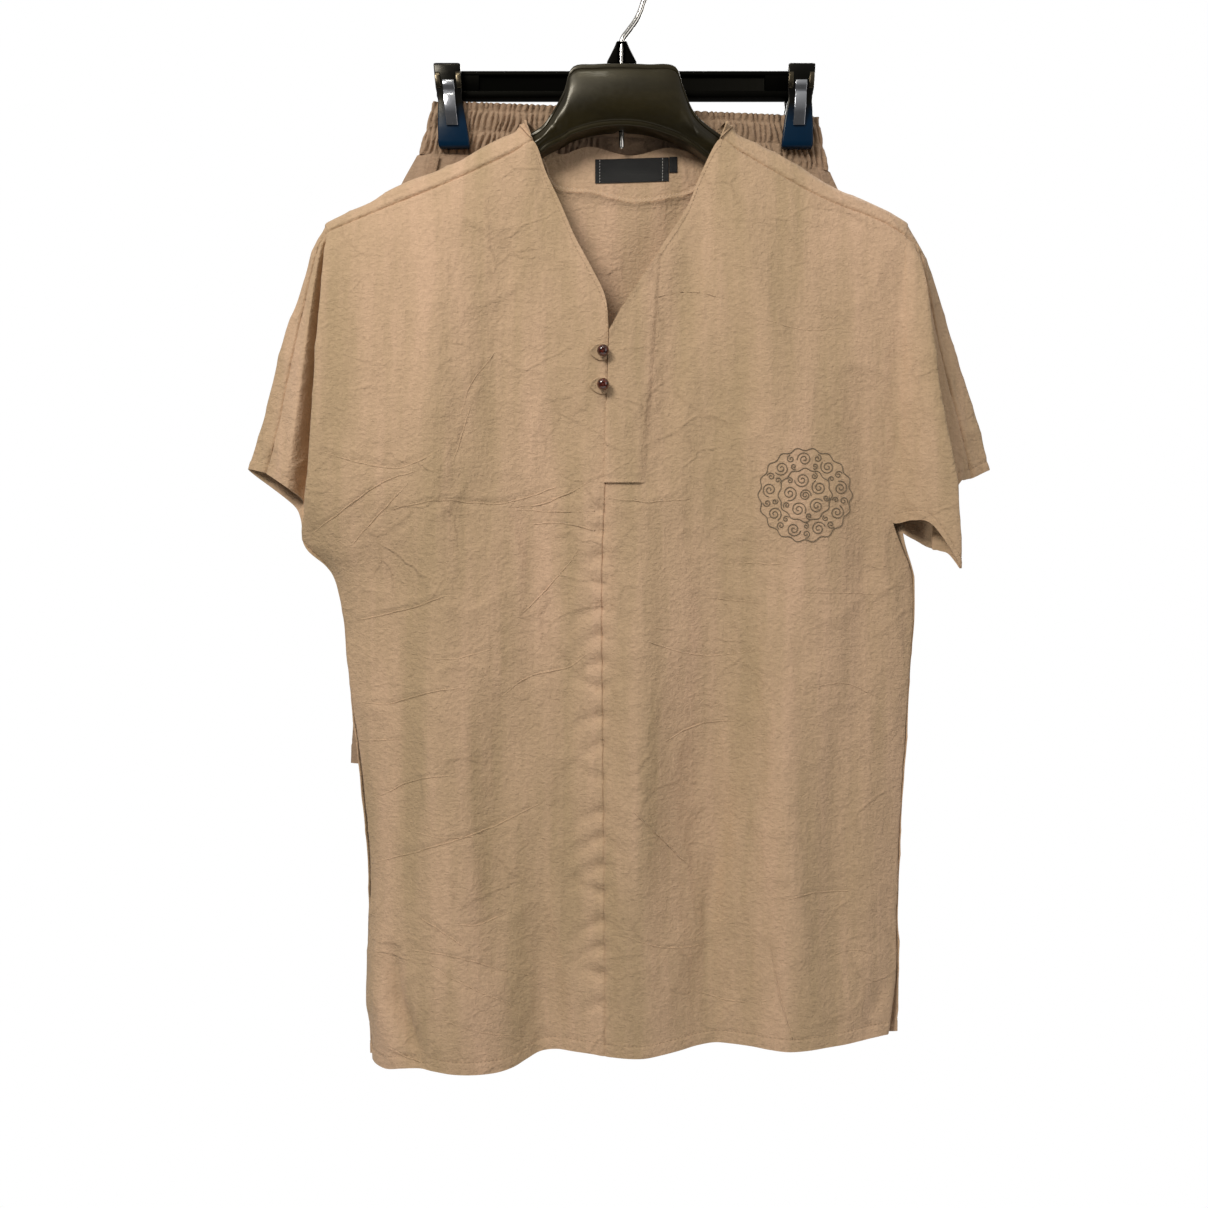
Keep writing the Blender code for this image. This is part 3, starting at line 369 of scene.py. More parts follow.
def smooth(points, n, even=True):
    """n + 1 points along a smooth curve through the points, even in spacing or in their count."""
    p = np.array(points, float)
    if len(p) == 2:
        return np.array([p[0] + (p[1] - p[0]) * i / n for i in range(n + 1)])
    a = np.vstack([2 * p[0] - p[1], p, 2 * p[-1] - p[-2]])
    fine = []
    for k in range(len(p) - 1):
        p0, p1, p2, p3 = a[k:k + 4]
        d1 = np.linalg.norm(p2 - p1)
        t1 = (p2 - p0) * d1 / max(1e-9, np.linalg.norm(p1 - p0) + d1)
        t2 = (p3 - p1) * d1 / max(1e-9, np.linalg.norm(p3 - p2) + d1)
        for s in np.linspace(0, 1, 17)[:-1]:
            fine.append((2 * s**3 - 3 * s**2 + 1) * p1 + (s**3 - 2 * s**2 + s) * t1
                        + (3 * s**2 - 2 * s**3) * p2 + (s**3 - s**2) * t2)
    fine = np.array(fine + [p[-1]])
    run = np.concatenate([[0], np.cumsum(np.linalg.norm(np.diff(fine, axis=0), axis=1))])
    if not even:
        run = np.arange(float(len(fine)))
    at = np.linspace(0, run[-1], n + 1)
    return np.array([np.interp(at, run, fine[:, c]) for c in range(fine.shape[1])]).T


def patch(top, bottom, first, last, sharp):
    """Grid[row][column] between four edges; depth follows the two side edges only near them."""
    n, m = len(top) - 1, len(first) - 1
    run = np.concatenate([[0], np.cumsum(np.linalg.norm(np.diff(bottom, axis=0), axis=1))])
    us = run / run[-1]
    grid = np.zeros((m + 1, n + 1, 3))
    for j in range(m + 1):
        v = j / m
        for i in range(n + 1):
            u = us[i]
            near = np.array([1 - u, 1 - u, (1 - u)**sharp[0]])
            far = np.array([u, u, u**sharp[1]])
            grid[j, i] = ((1 - v) * top[i] + v * bottom[i]
                          + near * (first[j] - (1 - v) * top[0] - v * bottom[0])
                          + far * (last[j] - (1 - v) * top[-1] - v * bottom[-1]))
    return grid


def front_grid(v_edge, seam, centre, side, hem, sleeve):
    """Columns run from the centre seam out to the armhole, then on through the sleeve to its top seam."""
    arm = smooth(sleeve[0], ARM_ROW)
    top = np.vstack([smooth(v_edge[::-1], NECK_COLS), smooth(seam, SHOULDER_COLS)[1:]])
    bottom = smooth(hem, NECK_COLS + SHOULDER_COLS)
    last = np.vstack([arm, smooth(side, ROWS - ARM_ROW)[1:]])
    body = patch(top, bottom, smooth(centre, ROWS), last, (1.5, 3.0))
    for j in range(ROWS + 1):
        for i in range(len(top)):
            u, v = i / (len(top) - 1), j / ROWS
            body[j, i, 2] -= 9 * max(0.0, math.sin(math.pi * u)) ** 0.8 * math.sin(math.pi * v**0.7)
    inward = -1 if hem[-1][0] > 0 else 1
    open_by = 6.0 if inward < 0 else 1.5
    body[ROWS, -1] += (open_by * inward, -2.0, -2.0)
    body[ROWS - 1, -1] += (0.35 * open_by * inward, 0, -0.8)
    return join_sleeve(body, sleeve)


def join_sleeve(body, sleeve):
    lines = [smooth(line, ARM_ROW) for line in sleeve]
    rows = []
    for j in range(ROWS + 1):
        row = [p for p in body[j]]
        if j <= ARM_ROW:
            row[-1] = lines[0][j]
            ring = smooth([line[j] for line in lines], SLEEVE_COLS, even=False)
            row += [p for p in ring[1:]]
        else:
            row += [None] * SLEEVE_COLS
        rows.append(row)
    return rows


def back_grid():
    """Columns run from the left sleeve's top seam across the back to the right one."""
    low = np.array([(b[0], b[1], b[4]) for b in BAND], float)
    sides = []
    for seam, ridge, neck, table, side in (
            (SEAM_LEFT, RIDGE_LEFT, low[:4], LEFT_BACK_SLEEVE, SIDE_LEFT),
            (SEAM_RIGHT, RIDGE_RIGHT, low[:-5:-1], RIGHT_BACK_SLEEVE, SIDE_RIGHT)):
        top = smooth(seam, SHOULDER_COLS)
        across = np.array(sorted(ridge), float)
        z = np.interp(top[:, 0], across[:, 0], across[:, 1])
        over = [top] + [np.stack([top[:, 0], z - drop, 0 * z + y], 1)
                        for y, drop in ((-11.5, 0.9), (0.5, 0.6), (5.2, 12))]
        for j in range(4):
            over[j][0] = neck[j]
        arm = np.vstack([np.array(table[0][:3], float), smooth(table[0][3:], ARM_ROW - 3)])
        for j in range(4):
            over[j][-1] = arm[j]
        edge = np.vstack([arm[3:], smooth(side, ROWS - ARM_ROW)[1:]])
        lines = [arm]
        for line in table[1:-1]:
            lines.append(np.vstack([np.array(line[:3], float), smooth(line[3:], ARM_ROW - 3)]))
        lines.append(smooth(table[-1], ARM_ROW))
        sleeve = [smooth([line[j] for line in lines], SLEEVE_COLS, even=False) for j in range(ARM_ROW + 1)]
        sides.append((over, edge, sleeve))
    (over_l, edge_l, sleeve_l), (over_r, edge_r, sleeve_r) = sides
    third = np.vstack([over_l[3][::-1], low[4:-4], over_r[3]])
    rest = patch(third, smooth(HEM_BACK, len(third) - 1), edge_l, edge_r, (9.0, 9.0))
    rows = []
    for j in range(ROWS + 1):
        if j < 3:
            row = list(over_l[j][::-1]) + [None] * (len(low) - 8) + list(over_r[j])
        else:
            row = list(rest[j - 3])
        if j <= ARM_ROW:
            row = list(sleeve_l[j][:0:-1]) + row + list(sleeve_r[j][1:])
        else:
            row = [None] * SLEEVE_COLS + row + [None] * SLEEVE_COLS
        rows.append(row)
    return rows


def key(p):
    return tuple(np.round(p, 2))


def share_normals(panels):
    """One normal at each point of a garment, the same on both sides of every seam."""
    total = {}
    for rows, flip in panels:
        for j in range(len(rows) - 1):
            for i in range(len(rows[0]) - 1):
                p = [rows[j][i], rows[j][i + 1], rows[j + 1][i + 1], rows[j + 1][i]]
                if any(q is None for q in p):
                    continue
                n = np.cross(p[2] - p[0], p[3] - p[1]) * (-1 if flip else 1)
                for q in p:
                    total[key(q)] = total.get(key(q), 0) + n
    return {k: n / np.linalg.norm(n) for k, n in total.items()}


def at_places(points, places):
    """Points at fractional places along a smooth curve through numbered points."""
    if len(points) == 2:
        s = places[:, None]
        return points[0] * (1 - s) + points[1] * s
    p = np.vstack([2 * points[0] - points[1], points, 2 * points[-1] - points[-2]])
    k = np.clip(places.astype(int), 0, len(points) - 2)
    s = (places - k)[:, None]
    a, b, c, d = p[k], p[k + 1], p[k + 2], p[k + 3]
    return 0.5 * (2 * b + (c - a) * s + (2 * a - 5 * b + 4 * c - d) * s**2 + (3 * b - a - 3 * c + d) * s**3)


def places(count, steps, seams, near):
    """Fractional places over a count of cells, with more of them beside each seam."""
    found = set(np.round(np.linspace(0, count, count * steps + 1), 4))
    for seam in seams:
        for d in near:
            for q in (seam - d, seam + d):
                if 0 < q < count:
                    found.add(round(q, 4))
    return np.array(sorted(found))


def runs(there):
    """First and last of each unbroken run."""
    edge = np.flatnonzero(np.diff(np.concatenate([[0], there.astype(int), [0]])))
    return list(zip(edge[::2], edge[1::2] - 1))


class Panel:
    """A fine grid of cloth: points, normals, and the height of its folds."""

    def __init__(self, rows, normals, at_rows, at_cols):
        m, n = len(rows), len(rows[0])
        coarse = np.full((m, n, 6), np.nan)
        for j in range(m):
            for i in range(n):
                if rows[j][i] is not None:
                    coarse[j, i] = np.concatenate([rows[j][i], normals[key(rows[j][i])]])
        wide = np.full((m, len(at_cols), 6), np.nan)
        for j in range(m):
            for a, b in runs(~np.isnan(coarse[j, :, 0])):
                inside = (at_cols >= a - 1e-6) & (at_cols <= b + 1e-6)
                wide[j, inside] = at_places(coarse[j, a:b + 1], at_cols[inside] - a)
        fine = np.full((len(at_rows), len(at_cols), 6), np.nan)
        for i in range(len(at_cols)):
            for a, b in runs(~np.isnan(wide[:, i, 0])):
                if b > a:
                    inside = (at_rows >= a - 1e-6) & (at_rows <= b + 1e-6)
                    fine[inside, i] = at_places(wide[a:b + 1, i], at_rows[inside] - a)
        self.at_rows, self.at_cols = at_rows, at_cols
        self.p = fine[..., :3]
        self.n = fine[..., 3:] / np.linalg.norm(fine[..., 3:], axis=-1, keepdims=True)
        self.there = ~np.isnan(self.p[..., 0])
        t = self.there
        self.cells = t[:-1, :-1] & t[1:, :-1] & t[:-1, 1:] & t[1:, 1:]
        self.height = np.zeros(t.shape)
        self.thick = np.full(t.shape, CLOTH)
        down = np.linalg.norm(np.diff(self.p, axis=0), axis=-1)
        across = np.linalg.norm(np.diff(self.p, axis=1), axis=-1)
        self.down = np.nan_to_num(down)
        self.across = np.nan_to_num(across)

    def edges(self):
        """Distance over the cloth from its top, its bottom, its first and its last edge."""
        found = []
        for steps, turned in ((self.down, False), (self.across.T, True)):
            none = np.zeros((1, steps.shape[1]))
            ahead = np.vstack([none, np.cumsum(steps, axis=0)])
            back = np.vstack([np.cumsum(steps[::-1], axis=0)[::-1], none])
            found += [ahead.T, back.T] if turned else [ahead, back]
        return found

    def outer(self):
        return self.p + self.n * (self.height + self.thick / 2)[..., None]

    def area(self):
        a = self.p[:-1, :-1] - self.p[1:, 1:]
        b = self.p[1:, :-1] - self.p[:-1, 1:]
        return float(np.sum(np.linalg.norm(np.cross(a, b), axis=-1)[self.cells]) / 2)


def along_line(face, line):
    """Signed distance from a line, and how far along it from 0 to 1, for points on the face."""
    line = np.array(line, float)
    best = np.full(face.shape[:-1], 1e9)
    along = np.zeros(best.shape)
    side = np.ones(best.shape)
    lengths = np.linalg.norm(np.diff(line, axis=0), axis=1)
    run = 0.0
    for a, b, size in zip(line, line[1:], lengths):
        t = np.clip(((face - a) @ (b - a)) / size**2, 0, 1)
        off = face - a - t[..., None] * (b - a)
        d = np.linalg.norm(off, axis=-1)
        cross = (b - a)[0] * (face - a)[..., 1] - (b - a)[1] * (face - a)[..., 0]
        near = d < best
        best = np.where(near, d, best)
        along = np.where(near, run + t * size, along)
        side = np.where(near, np.sign(cross), side)
        run += size
    return best * side, along / run


def crease(face, depth, width, line):
    """A pressed crease: a shallow trough with a low ridge on its upper side, fading to both ends."""
    depth = depth * 0.5
    d, along = along_line(face, line)
    q = d / width
    fade = np.sin(math.pi * np.clip(along, 0.0, 1.0))**0.5 * np.exp(-(np.maximum(0, np.abs(q) - 3))**2)
    return depth * fade * (0.75 * np.exp(-((q - 1.2) * 1.3)**2) - np.exp(-(q * 1.5)**2))


def fold(face, height, width, line):
    """A broad soft fold, highest in its middle."""
    height = 1.9 * height
    d, along = along_line(face, line)
    fade = np.sin(math.pi * np.clip(along * 0.86 + 0.07, 0, 1))**0.7
    return height * fade * np.exp(-(d / width)**2)


def crumple(points, size, seed):
    """Low ridges in a net, as washed cotton has."""
    flat = points.reshape(-1, 3)
    values = np.zeros(len(flat))
    for k, p in enumerate(flat):
        if p[0] == p[0]:
            q = Vector((p[0] / size + seed, p[1] / size, p[2] / (size * 1.35)))
            values[k] = max(0.0, 1 - 3.2 * abs(noise.noise(q)))**2
    return values.reshape(points.shape[:-1])


def lumps(points, size, seed):
    """Soft uneven swelling between -1 and 1."""
    flat = points.reshape(-1, 3)
    values = np.zeros(len(flat))
    for k, p in enumerate(flat):
        if p[0] == p[0]:
            values[k] = noise.noise(Vector((p[0] / size, p[1] / size + seed, p[2] / size)))
    return values.reshape(points.shape[:-1])


def new_mesh(name, points, faces):
    mesh = bpy.data.meshes.new(name)
    mesh.from_pydata((np.array(points) * MM).tolist(), [], faces)
    item = bpy.data.objects.new(name, mesh)
    bpy.context.scene.collection.objects.link(item)
    return item


def finished(item, material, replaced=(), sharp=50):
    """Gives a piece its finish and hides the parts that it replaces."""
    item.data.materials.clear()
    item.data.materials.append(material)
    item.data.shade_smooth()
    item.data.set_sharp_from_angle(angle=math.radians(sharp))
    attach(item, "root")
    if replaced:
        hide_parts(*replaced)
    return item


def thread_map(mesh, uv):
    """Lays a map of the threads over a mesh, given for its points."""
    layer = mesh.uv_layers.new(name="threads")
    loops = np.zeros(len(mesh.loops), int)
    mesh.loops.foreach_get("vertex_index", loops)
    layer.data.foreach_set("uv", np.array(uv)[loops].ravel())


def shell(name, panel, flip):
    """Closed thin cloth about a panel, with a map that follows its threads."""
    there = panel.there
    index = np.full(there.shape, -1)
    index[there] = np.arange(there.sum())
    count = int(there.sum())
    half = (panel.thick / 2)[..., None]
    mid = panel.p + panel.n * panel.height[..., None]
    points = np.vstack([(mid + panel.n * half)[there], (mid - panel.n * half)[there]])
    a, b = index[:-1, :-1][panel.cells], index[:-1, 1:][panel.cells]
    d, c = index[1:, :-1][panel.cells], index[1:, 1:][panel.cells]
    outer = np.stack([a, d, c, b] if flip else [a, b, c, d], 1)
    faces = outer.tolist() + (outer[:, ::-1] + count).tolist()
    edges = {}
    for quad in outer.tolist():
        for p, q in zip(quad, quad[1:] + quad[:1]):
            edges[(p, q)] = True
    for p, q in edges:
        if (q, p) not in edges:
            faces.append([q, p, p + count, q + count])
    item = new_mesh(name, points, faces)
    across = np.hypot(np.diff(panel.p[..., 0], axis=1), np.diff(panel.p[..., 1], axis=1))
    down = np.hypot(np.diff(panel.p[..., 1], axis=0), np.diff(panel.p[..., 2], axis=0))
    u = np.hstack([np.zeros((there.shape[0], 1)), np.cumsum(np.nan_to_num(across), axis=1)])
    v = np.vstack([np.zeros((1, there.shape[1])), -np.cumsum(np.nan_to_num(down), axis=0)])
    anchor = there.shape[0] // 3
    v = v + (panel.p[..., 2] - v)[anchor][None, :] if not np.isnan(panel.p[anchor, :, 2]).any() else v
    uv = np.stack([u[there], v[there]], 1) * MM
    thread_map(item.data, np.vstack([uv, uv]))
    return item


# Materials

def node(tree, kind, inputs=None, **settings):
    made = tree.nodes.new(kind)
    for name, value in settings.items():
        setattr(made, name, value)
    for name, value in (inputs or {}).items():
        if isinstance(value, bpy.types.NodeSocket):
            tree.links.new(value, made.inputs[name])
        else:
            made.inputs[name].default_value = value
    return made


def linear(r, g, b):
    return tuple((c / 255)**2.2 for c in (r, g, b)) + (1.0,)


def grey(value):
    return (value, value, value, 1)


def object_place(tree):
    return node(tree, "ShaderNodeTexCoord").outputs["Object"]


def mapped(tree, vector, scale, place=(0, 0, 0)):
    return node(tree, "ShaderNodeMapping", {"Vector": vector, "Scale": scale, "Location": place}).outputs[0]


def noise_in(tree, vector, scale=1.0, detail=2.0, rough=0.5, bent=0.0):
    """Noise as two sockets: its height and its colour."""
    inputs = {"Vector": vector, "Scale": scale, "Detail": detail, "Roughness": rough, "Distortion": bent}
    return node(tree, "ShaderNodeTexNoise", inputs).outputs


def ranged(tree, value, low, high, to_low=0.0, to_high=1.0, **how):
    inputs = {"Value": value, 1: low, 2: high, 3: to_low, 4: to_high}
    return node(tree, "ShaderNodeMapRange", inputs, **how).outputs[0]


def worked(tree, operation, *values):
    return node(tree, "ShaderNodeMath", dict(enumerate(values)), operation=operation).outputs[0]


def mixed(tree, factor, low, high, how="MIX"):
    inputs = {0: factor, 6: low, 7: high}
    return node(tree, "ShaderNodeMix", inputs, data_type="RGBA", blend_type=how).outputs[2]


def bump(tree, height, strength, distance, under=None):
    inputs = {"Height": height, "Strength": strength, "Distance": distance}
    if under is not None:
        inputs["Normal"] = under
    return node(tree, "ShaderNodeBump", inputs).outputs[0]


def finish_named(name, colour, rough, metal=0.0, **sockets):
    made = bpy.data.materials.new(name)
    made.use_nodes = True
    shader = made.node_tree.nodes["Principled BSDF"].inputs
    shader["Base Color"].default_value = linear(*colour)
    shader["Roughness"].default_value = rough
    shader["Metallic"].default_value = metal
    for socket, value in sockets.items():
        shader[socket.replace("_", " ")].default_value = value
    return made, made.node_tree, shader


def slub_cloth(name, colour, dark, seed):
    """Crinkled plain weave: uneven threads on the piece's own thread map, and a net of fine creases; painted
    shade darkens the crease lines and the crinkle's hollows.
    """
    made, tree, shader = finish_named(name, colour, 0.9, Sheen_Weight=0.1, Sheen_Roughness=0.5,
                                      Specular_IOR_Level=0.2)
    threads = node(tree, "ShaderNodeUVMap", uv_map="threads").outputs[0]
    place = object_place(tree)
    warp = noise_in(tree, mapped(tree, threads, (1250, 190, 1), (seed, 0, 0)))
    weft = noise_in(tree, mapped(tree, threads, (150, 1150, 1), (0, seed, 0)))
    weave = worked(tree, "ADD", warp[0], weft[0])
    mottle = noise_in(tree, mapped(tree, place, (30, 8, 3.2)), 1.0, 4.0, 0.6)
    stretch = mapped(tree, place, (1.0, 1.0, 1.2), (seed, 0, 0))
    # Fine crinkle: bump height, and below also painted shade, darker where the bump sinks
    crinkle = noise_in(tree, stretch, 290.0, 3.0, 0.62, 0.15)
    rumple = noise_in(tree, stretch, 30.0, 2.0, 0.5, 0.2)
    bent = node(tree, "ShaderNodeVectorMath", {0: rumple[1], 1: (0.022, 0.022, 0.022), 2: stretch},
                operation="MULTIPLY_ADD").outputs[0]
    net = node(tree, "ShaderNodeTexVoronoi", {"Vector": bent, "Scale": 21.0}, feature="DISTANCE_TO_EDGE")
    mask = ranged(tree, noise_in(tree, place, 17.0)[0], 0.46, 0.62)
    line = ranged(tree, net.outputs["Distance"], 0.0, 0.05, 1.0, 0.0, interpolation_type="SMOOTHSTEP")
    # The crease net serves as bump height and as painted shade: below, the colour is darkened along each
    # crease line
    crease_net_and_shade = worked(tree, "MULTIPLY", line, mask)
    tinted = mixed(tree, ranged(tree, mottle[0], 0.35, 0.65), linear(*dark), linear(*colour))
    # Multiplies in the tone of the uneven threads, then painted shade in the crinkle's hollows, then painted
    # shade along the crease lines
    for amount, low, high in ((ranged(tree, weave, 0.7, 1.3), grey(0.95), grey(1.04)),
                              (ranged(tree, crinkle[0], 0.32, 0.68), (0.94, 0.935, 0.93, 1), grey(1.05)),
                              (crease_net_and_shade, grey(1), (0.93, 0.925, 0.92, 1))):
        tinted = mixed(tree, 1.0, tinted, mixed(tree, amount, low, high), "MULTIPLY")
    tree.links.new(tinted, shader["Base Color"])
    under = None
    for height, strength, distance in ((mottle[0], 0.4, 0.008), (rumple[0], 0.3, 0.004),
                                       (crease_net_and_shade, 0.4, 0.001), (crinkle[0], 0.7, 0.002), (weave, 0.3, 0.0004)):
        under = bump(tree, height, strength, distance, under)
    tree.links.new(under, shader["Normal"])
    return made


def moulded(name, colour, rough, grain, gloss=0.42, foot=None):
    """Glossy moulded plastic with faint flow marks and fine scuffs."""
    made, tree, shader = finish_named(name, colour, rough, Specular_IOR_Level=gloss, Coat_Weight=gloss * 0.2,
                                      Coat_Roughness=0.1, Specular_Tint=(1.0, 0.93, 0.76, 1))
    place = object_place(tree)
    wave = noise_in(tree, mapped(tree, place, (14, 14, 60)), 1.0, 3.0)[0]
    scuff = noise_in(tree, place, grain)[0]
    tree.links.new(ranged(tree, scuff, 0.3, 0.75, rough * 0.92, rough * 1.12), shader["Roughness"])
    tree.links.new(bump(tree, wave, 0.03, 0.002), shader["Normal"])
    if foot:
        split = node(tree, "ShaderNodeSeparateXYZ", {0: place})
        amount = ranged(tree, split.outputs[2], -0.108, -0.124)
    else:
        amount = ranged(tree, wave, 0.35, 0.65)
        foot = tuple(min(255, c * 1.35 + 2) for c in colour)
    tree.links.new(mixed(tree, amount, linear(*colour), linear(*foot)), shader["Base Color"])
    return made


def plated(name, colour, rough):
    """Bright plated steel with fine drawing marks."""
    made, tree, shader = finish_named(name, colour, rough, 1.0)
    drawn = noise_in(tree, object_place(tree), 900.0)[0]
    tree.links.new(ranged(tree, drawn, 0.0, 1.0, rough * 0.6, rough * 1.6), shader["Roughness"])
    return made


def amber(name):
    """Polished dark amber with cloudy bands."""
    made, tree, shader = finish_named(name, (92, 34, 14), 0.08, Coat_Weight=1.0, Coat_Roughness=0.03,
                                      Subsurface_Weight=0.25, Subsurface_Radius=(0.004, 0.0012, 0.0004))
    cloud = noise_in(tree, object_place(tree), 420.0, 4.0, bent=1.2)[0]
    tinted = banded(tree, cloud, (0.36, linear(30, 10, 8)), (0.68, linear(104, 36, 16)))
    tree.links.new(tinted, shader["Base Color"])
    return made


def banded(tree, value, *stops):
    ramp = node(tree, "ShaderNodeValToRGB", {"Fac": value})
    for element, (position, colour) in zip(ramp.color_ramp.elements, stops):
        element.position = position
        element.color = colour
    return ramp.outputs[0]


def woven_tape(name, colour):
    """Satin woven tape with close ribs across."""
    made, tree, shader = finish_named(name, colour, 0.42, Sheen_Weight=0.03)
    rib = node(tree, "ShaderNodeTexWave", {"Vector": object_place(tree), "Scale": 520.0, "Distortion": 0.4},
               bands_direction="Z").outputs[0]
    tree.links.new(bump(tree, rib, 0.5, 0.0003), shader["Normal"])
    return made


def sewing_thread(name, colour):
    """Twisted thread with a soft lustre."""
    made, tree, shader = finish_named(name, colour, 0.5, Sheen_Weight=0.3)
    twist = noise_in(tree, object_place(tree), 1400.0)[0]
    tree.links.new(bump(tree, twist, 0.5, 0.0002), shader["Normal"])
    return made


SHIRT = slub_cloth("shirt_cloth", (205, 172, 143), (181, 155, 123), 0.0)
SHORTS = slub_cloth("shorts_cloth", (166, 139, 116), (151, 128, 105), 7.0)
BLACK = moulded("hanger_black", (27, 23, 9), 0.34, 260.0)
BAR = moulded("bar_black", (2, 3, 2), 0.45, 260.0, 0.04)
CLIP = moulded("clip_black", (4, 6, 8), 0.24, 320.0, 0.2, (9, 38, 60))
EAR = plated("ear_steel", (92, 84, 70), 0.24)
CHROME = plated("chrome", (205, 203, 198), 0.12)
STRIP = plated("strip_steel", (188, 190, 196), 0.16)
AMBER = amber("bead_amber")
TAPE = woven_tape("label_black", (9, 9, 10))
THREAD = sewing_thread("thread_beige", (160, 134, 106))
MOTIF = sewing_thread("thread_olive", (118, 101, 78))
PALE = sewing_thread("thread_pale", (214, 188, 158))
WHITE = sewing_thread("thread_white", (214, 210, 204))


# Shirt

def ring_faces(rings, n, wrap=False):
    faces = []
    for r in range(rings if wrap else rings - 1):
        q = (r + 1) % rings
        for i in range(n):
            k = (i + 1) % n
            faces.append([r * n + i, r * n + k, q * n + k, q * n + i])
    return faces


def turned_out(mesh):
    """Turns the faces of a closed mesh outwards."""
    made = bmesh.new()
    made.from_mesh(mesh)
    bmesh.ops.triangulate(made, faces=[f for f in made.faces if len(f.verts) > 4])
    bmesh.ops.recalc_face_normals(made, faces=made.faces)
    made.to_mesh(mesh)
    made.free()


def tube_loft(name, rings):
    """A body through rings of equal count, capped at its ends."""
    n, count = len(rings[0]), len(rings)
    caps = [list(range(n))[::-1], [(count - 1) * n + i for i in range(n)]]
    item = new_mesh(name, [p for ring in rings for p in ring], ring_faces(count, n) + caps)
    turned_out(item.data)
    return item


def circle(count):
    return np.linspace(0, 2 * math.pi, count, endpoint=False)


def shirt_grids():
    left, right, back = [[[None if p is None else seen(p) for p in row] for row in rows] for rows in (
        front_grid(V_LEFT, SEAM_LEFT, CENTRE, SIDE_LEFT, HEM_LEFT, LEFT_FRONT_SLEEVE),
        front_grid(V_RIGHT, SEAM_RIGHT, CENTRE, SIDE_RIGHT, HEM_RIGHT, RIGHT_FRONT_SLEEVE),
        back_grid())]
    band = []
    for t in (0, 0.33, 0.67, 1):
        band.append([seen((b[2] + (b[0] - b[2]) * t, b[3] + (b[1] - b[3]) * t, b[5] + (b[4] - b[5]) * t))
                     for b in BAND])
    normals = share_normals([(left, False), (right, True), (back, False), (band, False)])
    for rows, way in ((left, -1), (right, 1)):
        down = np.array([0.42 * way, 0.0, -0.9])
        normals[key(rows[ARM_ROW][ARM_COL])] = down / np.linalg.norm(down)
    return left, right, back, band, normals


def seam_dip(d, depth=1.7, width=1.1):
    """A sewn seam: a narrow groove with a low lip beside it."""
    return 0.4 * np.exp(-((d - 3.6) / 1.8)**2) - depth * np.exp(-(d / width)**2)


def hem_relief(panel, d, on, along, depth=HEM_DEPTH):
    """A turned hem: a little thicker, with a stitched groove and small uneven puckers above it."""
    inside = 1 / (1 + np.exp((d - depth) / 0.6))
    panel.thick = panel.thick + np.where(on, 0.8 * inside, 0)
    ripple = np.sin(along / 2.9 + 1.7 * np.sin(along / 17.0)) * np.exp(-((d - depth) / 6.5)**2)
    panel.height += np.where(on, 0.3 * ripple - 0.35 * np.exp(-((d - depth) / 1.1)**2), 0)


def wrinkle(panel, face, creases, folds, sleeve):
    for depth, width, line in creases:
        panel.height += crease(face, depth, width, line)
    for height, width, line in folds:
        panel.height += fold(face, height, width, line) * np.where(sleeve, 0, 1)


def rumple(panel, edge, coarse, fine, swell):
    """Uneven cloth that lies still at its edges, from three places in the noise."""
    still = np.clip(edge / 14, 0, 1)
    panel.height += (0.9 * crumple(panel.p, 46.0, coarse) * still
                     + 0.45 * crumple(panel.p, 21.0, fine) * still
                     + 0.8 * lumps(panel.p, 55.0, swell) * still)


def on_face(lines):
    return [(height, width, [px(*p) for p in line]) for height, width, line in lines]


def pucker(face, way, share, at, reach, depth, rise):
    """A small pull into the centre seam from one side."""
    start = px(CENTRE_PX, at)
    line = [start, start + np.array([way * reach * PX_MM * 0.5, -rise * 0.5]),
            start + np.array([way * reach * PX_MM * 0.9, -rise * 1.6])]
    d, along = along_line(face, line)
    return -PUCKER_DEPTH * depth * share * (1 - along)**0.8 * np.exp(-(d / PUCKER_WIDTH)**2)


def shirt_front(rows, normals, right):
    steps_r = places(ROWS, 14, (0, ARM_ROW, ROWS), (0.015, 0.03, 0.05, 0.22, 0.26, 0.3))
    steps_c = places(ARM_COL + SLEEVE_COLS, 7, (0, ARM_COL, ARM_COL + SLEEVE_COLS), (0.04, 0.08))
    panel = Panel(rows, normals, steps_r, steps_c)
    face = shown(panel.p)
    sleeve = np.broadcast_to(steps_c[None, :] > ARM_COL, panel.there.shape)
    top, bottom, first, last = panel.edges()
    wrinkle(panel, face, on_face(CREASES), on_face(FOLDS), sleeve)
    for row in PUCKERS:
        for way, share in ((-1, 1.0), (1, 0.3)):
            panel.height += pucker(face, way, share, *row)
    rumple(panel, np.minimum(np.minimum(first, bottom), top), 3.0 if right else 9.0, 5.0, 2.0)
    panel.height += seam_dip(first, 0.6, 0.75) + seam_dip(top) * np.where(steps_c[None, :] > NECK_COLS, 1, 0)
    panel.height += seam_dip(last, 1.2, 0.9)
    hem_relief(panel, bottom, ~sleeve, first)
    hem_relief(panel, bottom, sleeve, first, SLEEVE_HEM)
    neck = np.broadcast_to(steps_c[None, :] < NECK_COLS + 0.01, panel.there.shape)
    panel.thick = panel.thick + np.where(neck, 0.9 / (1 + np.exp((top - 7.0) / 0.7)), 0)
    return panel


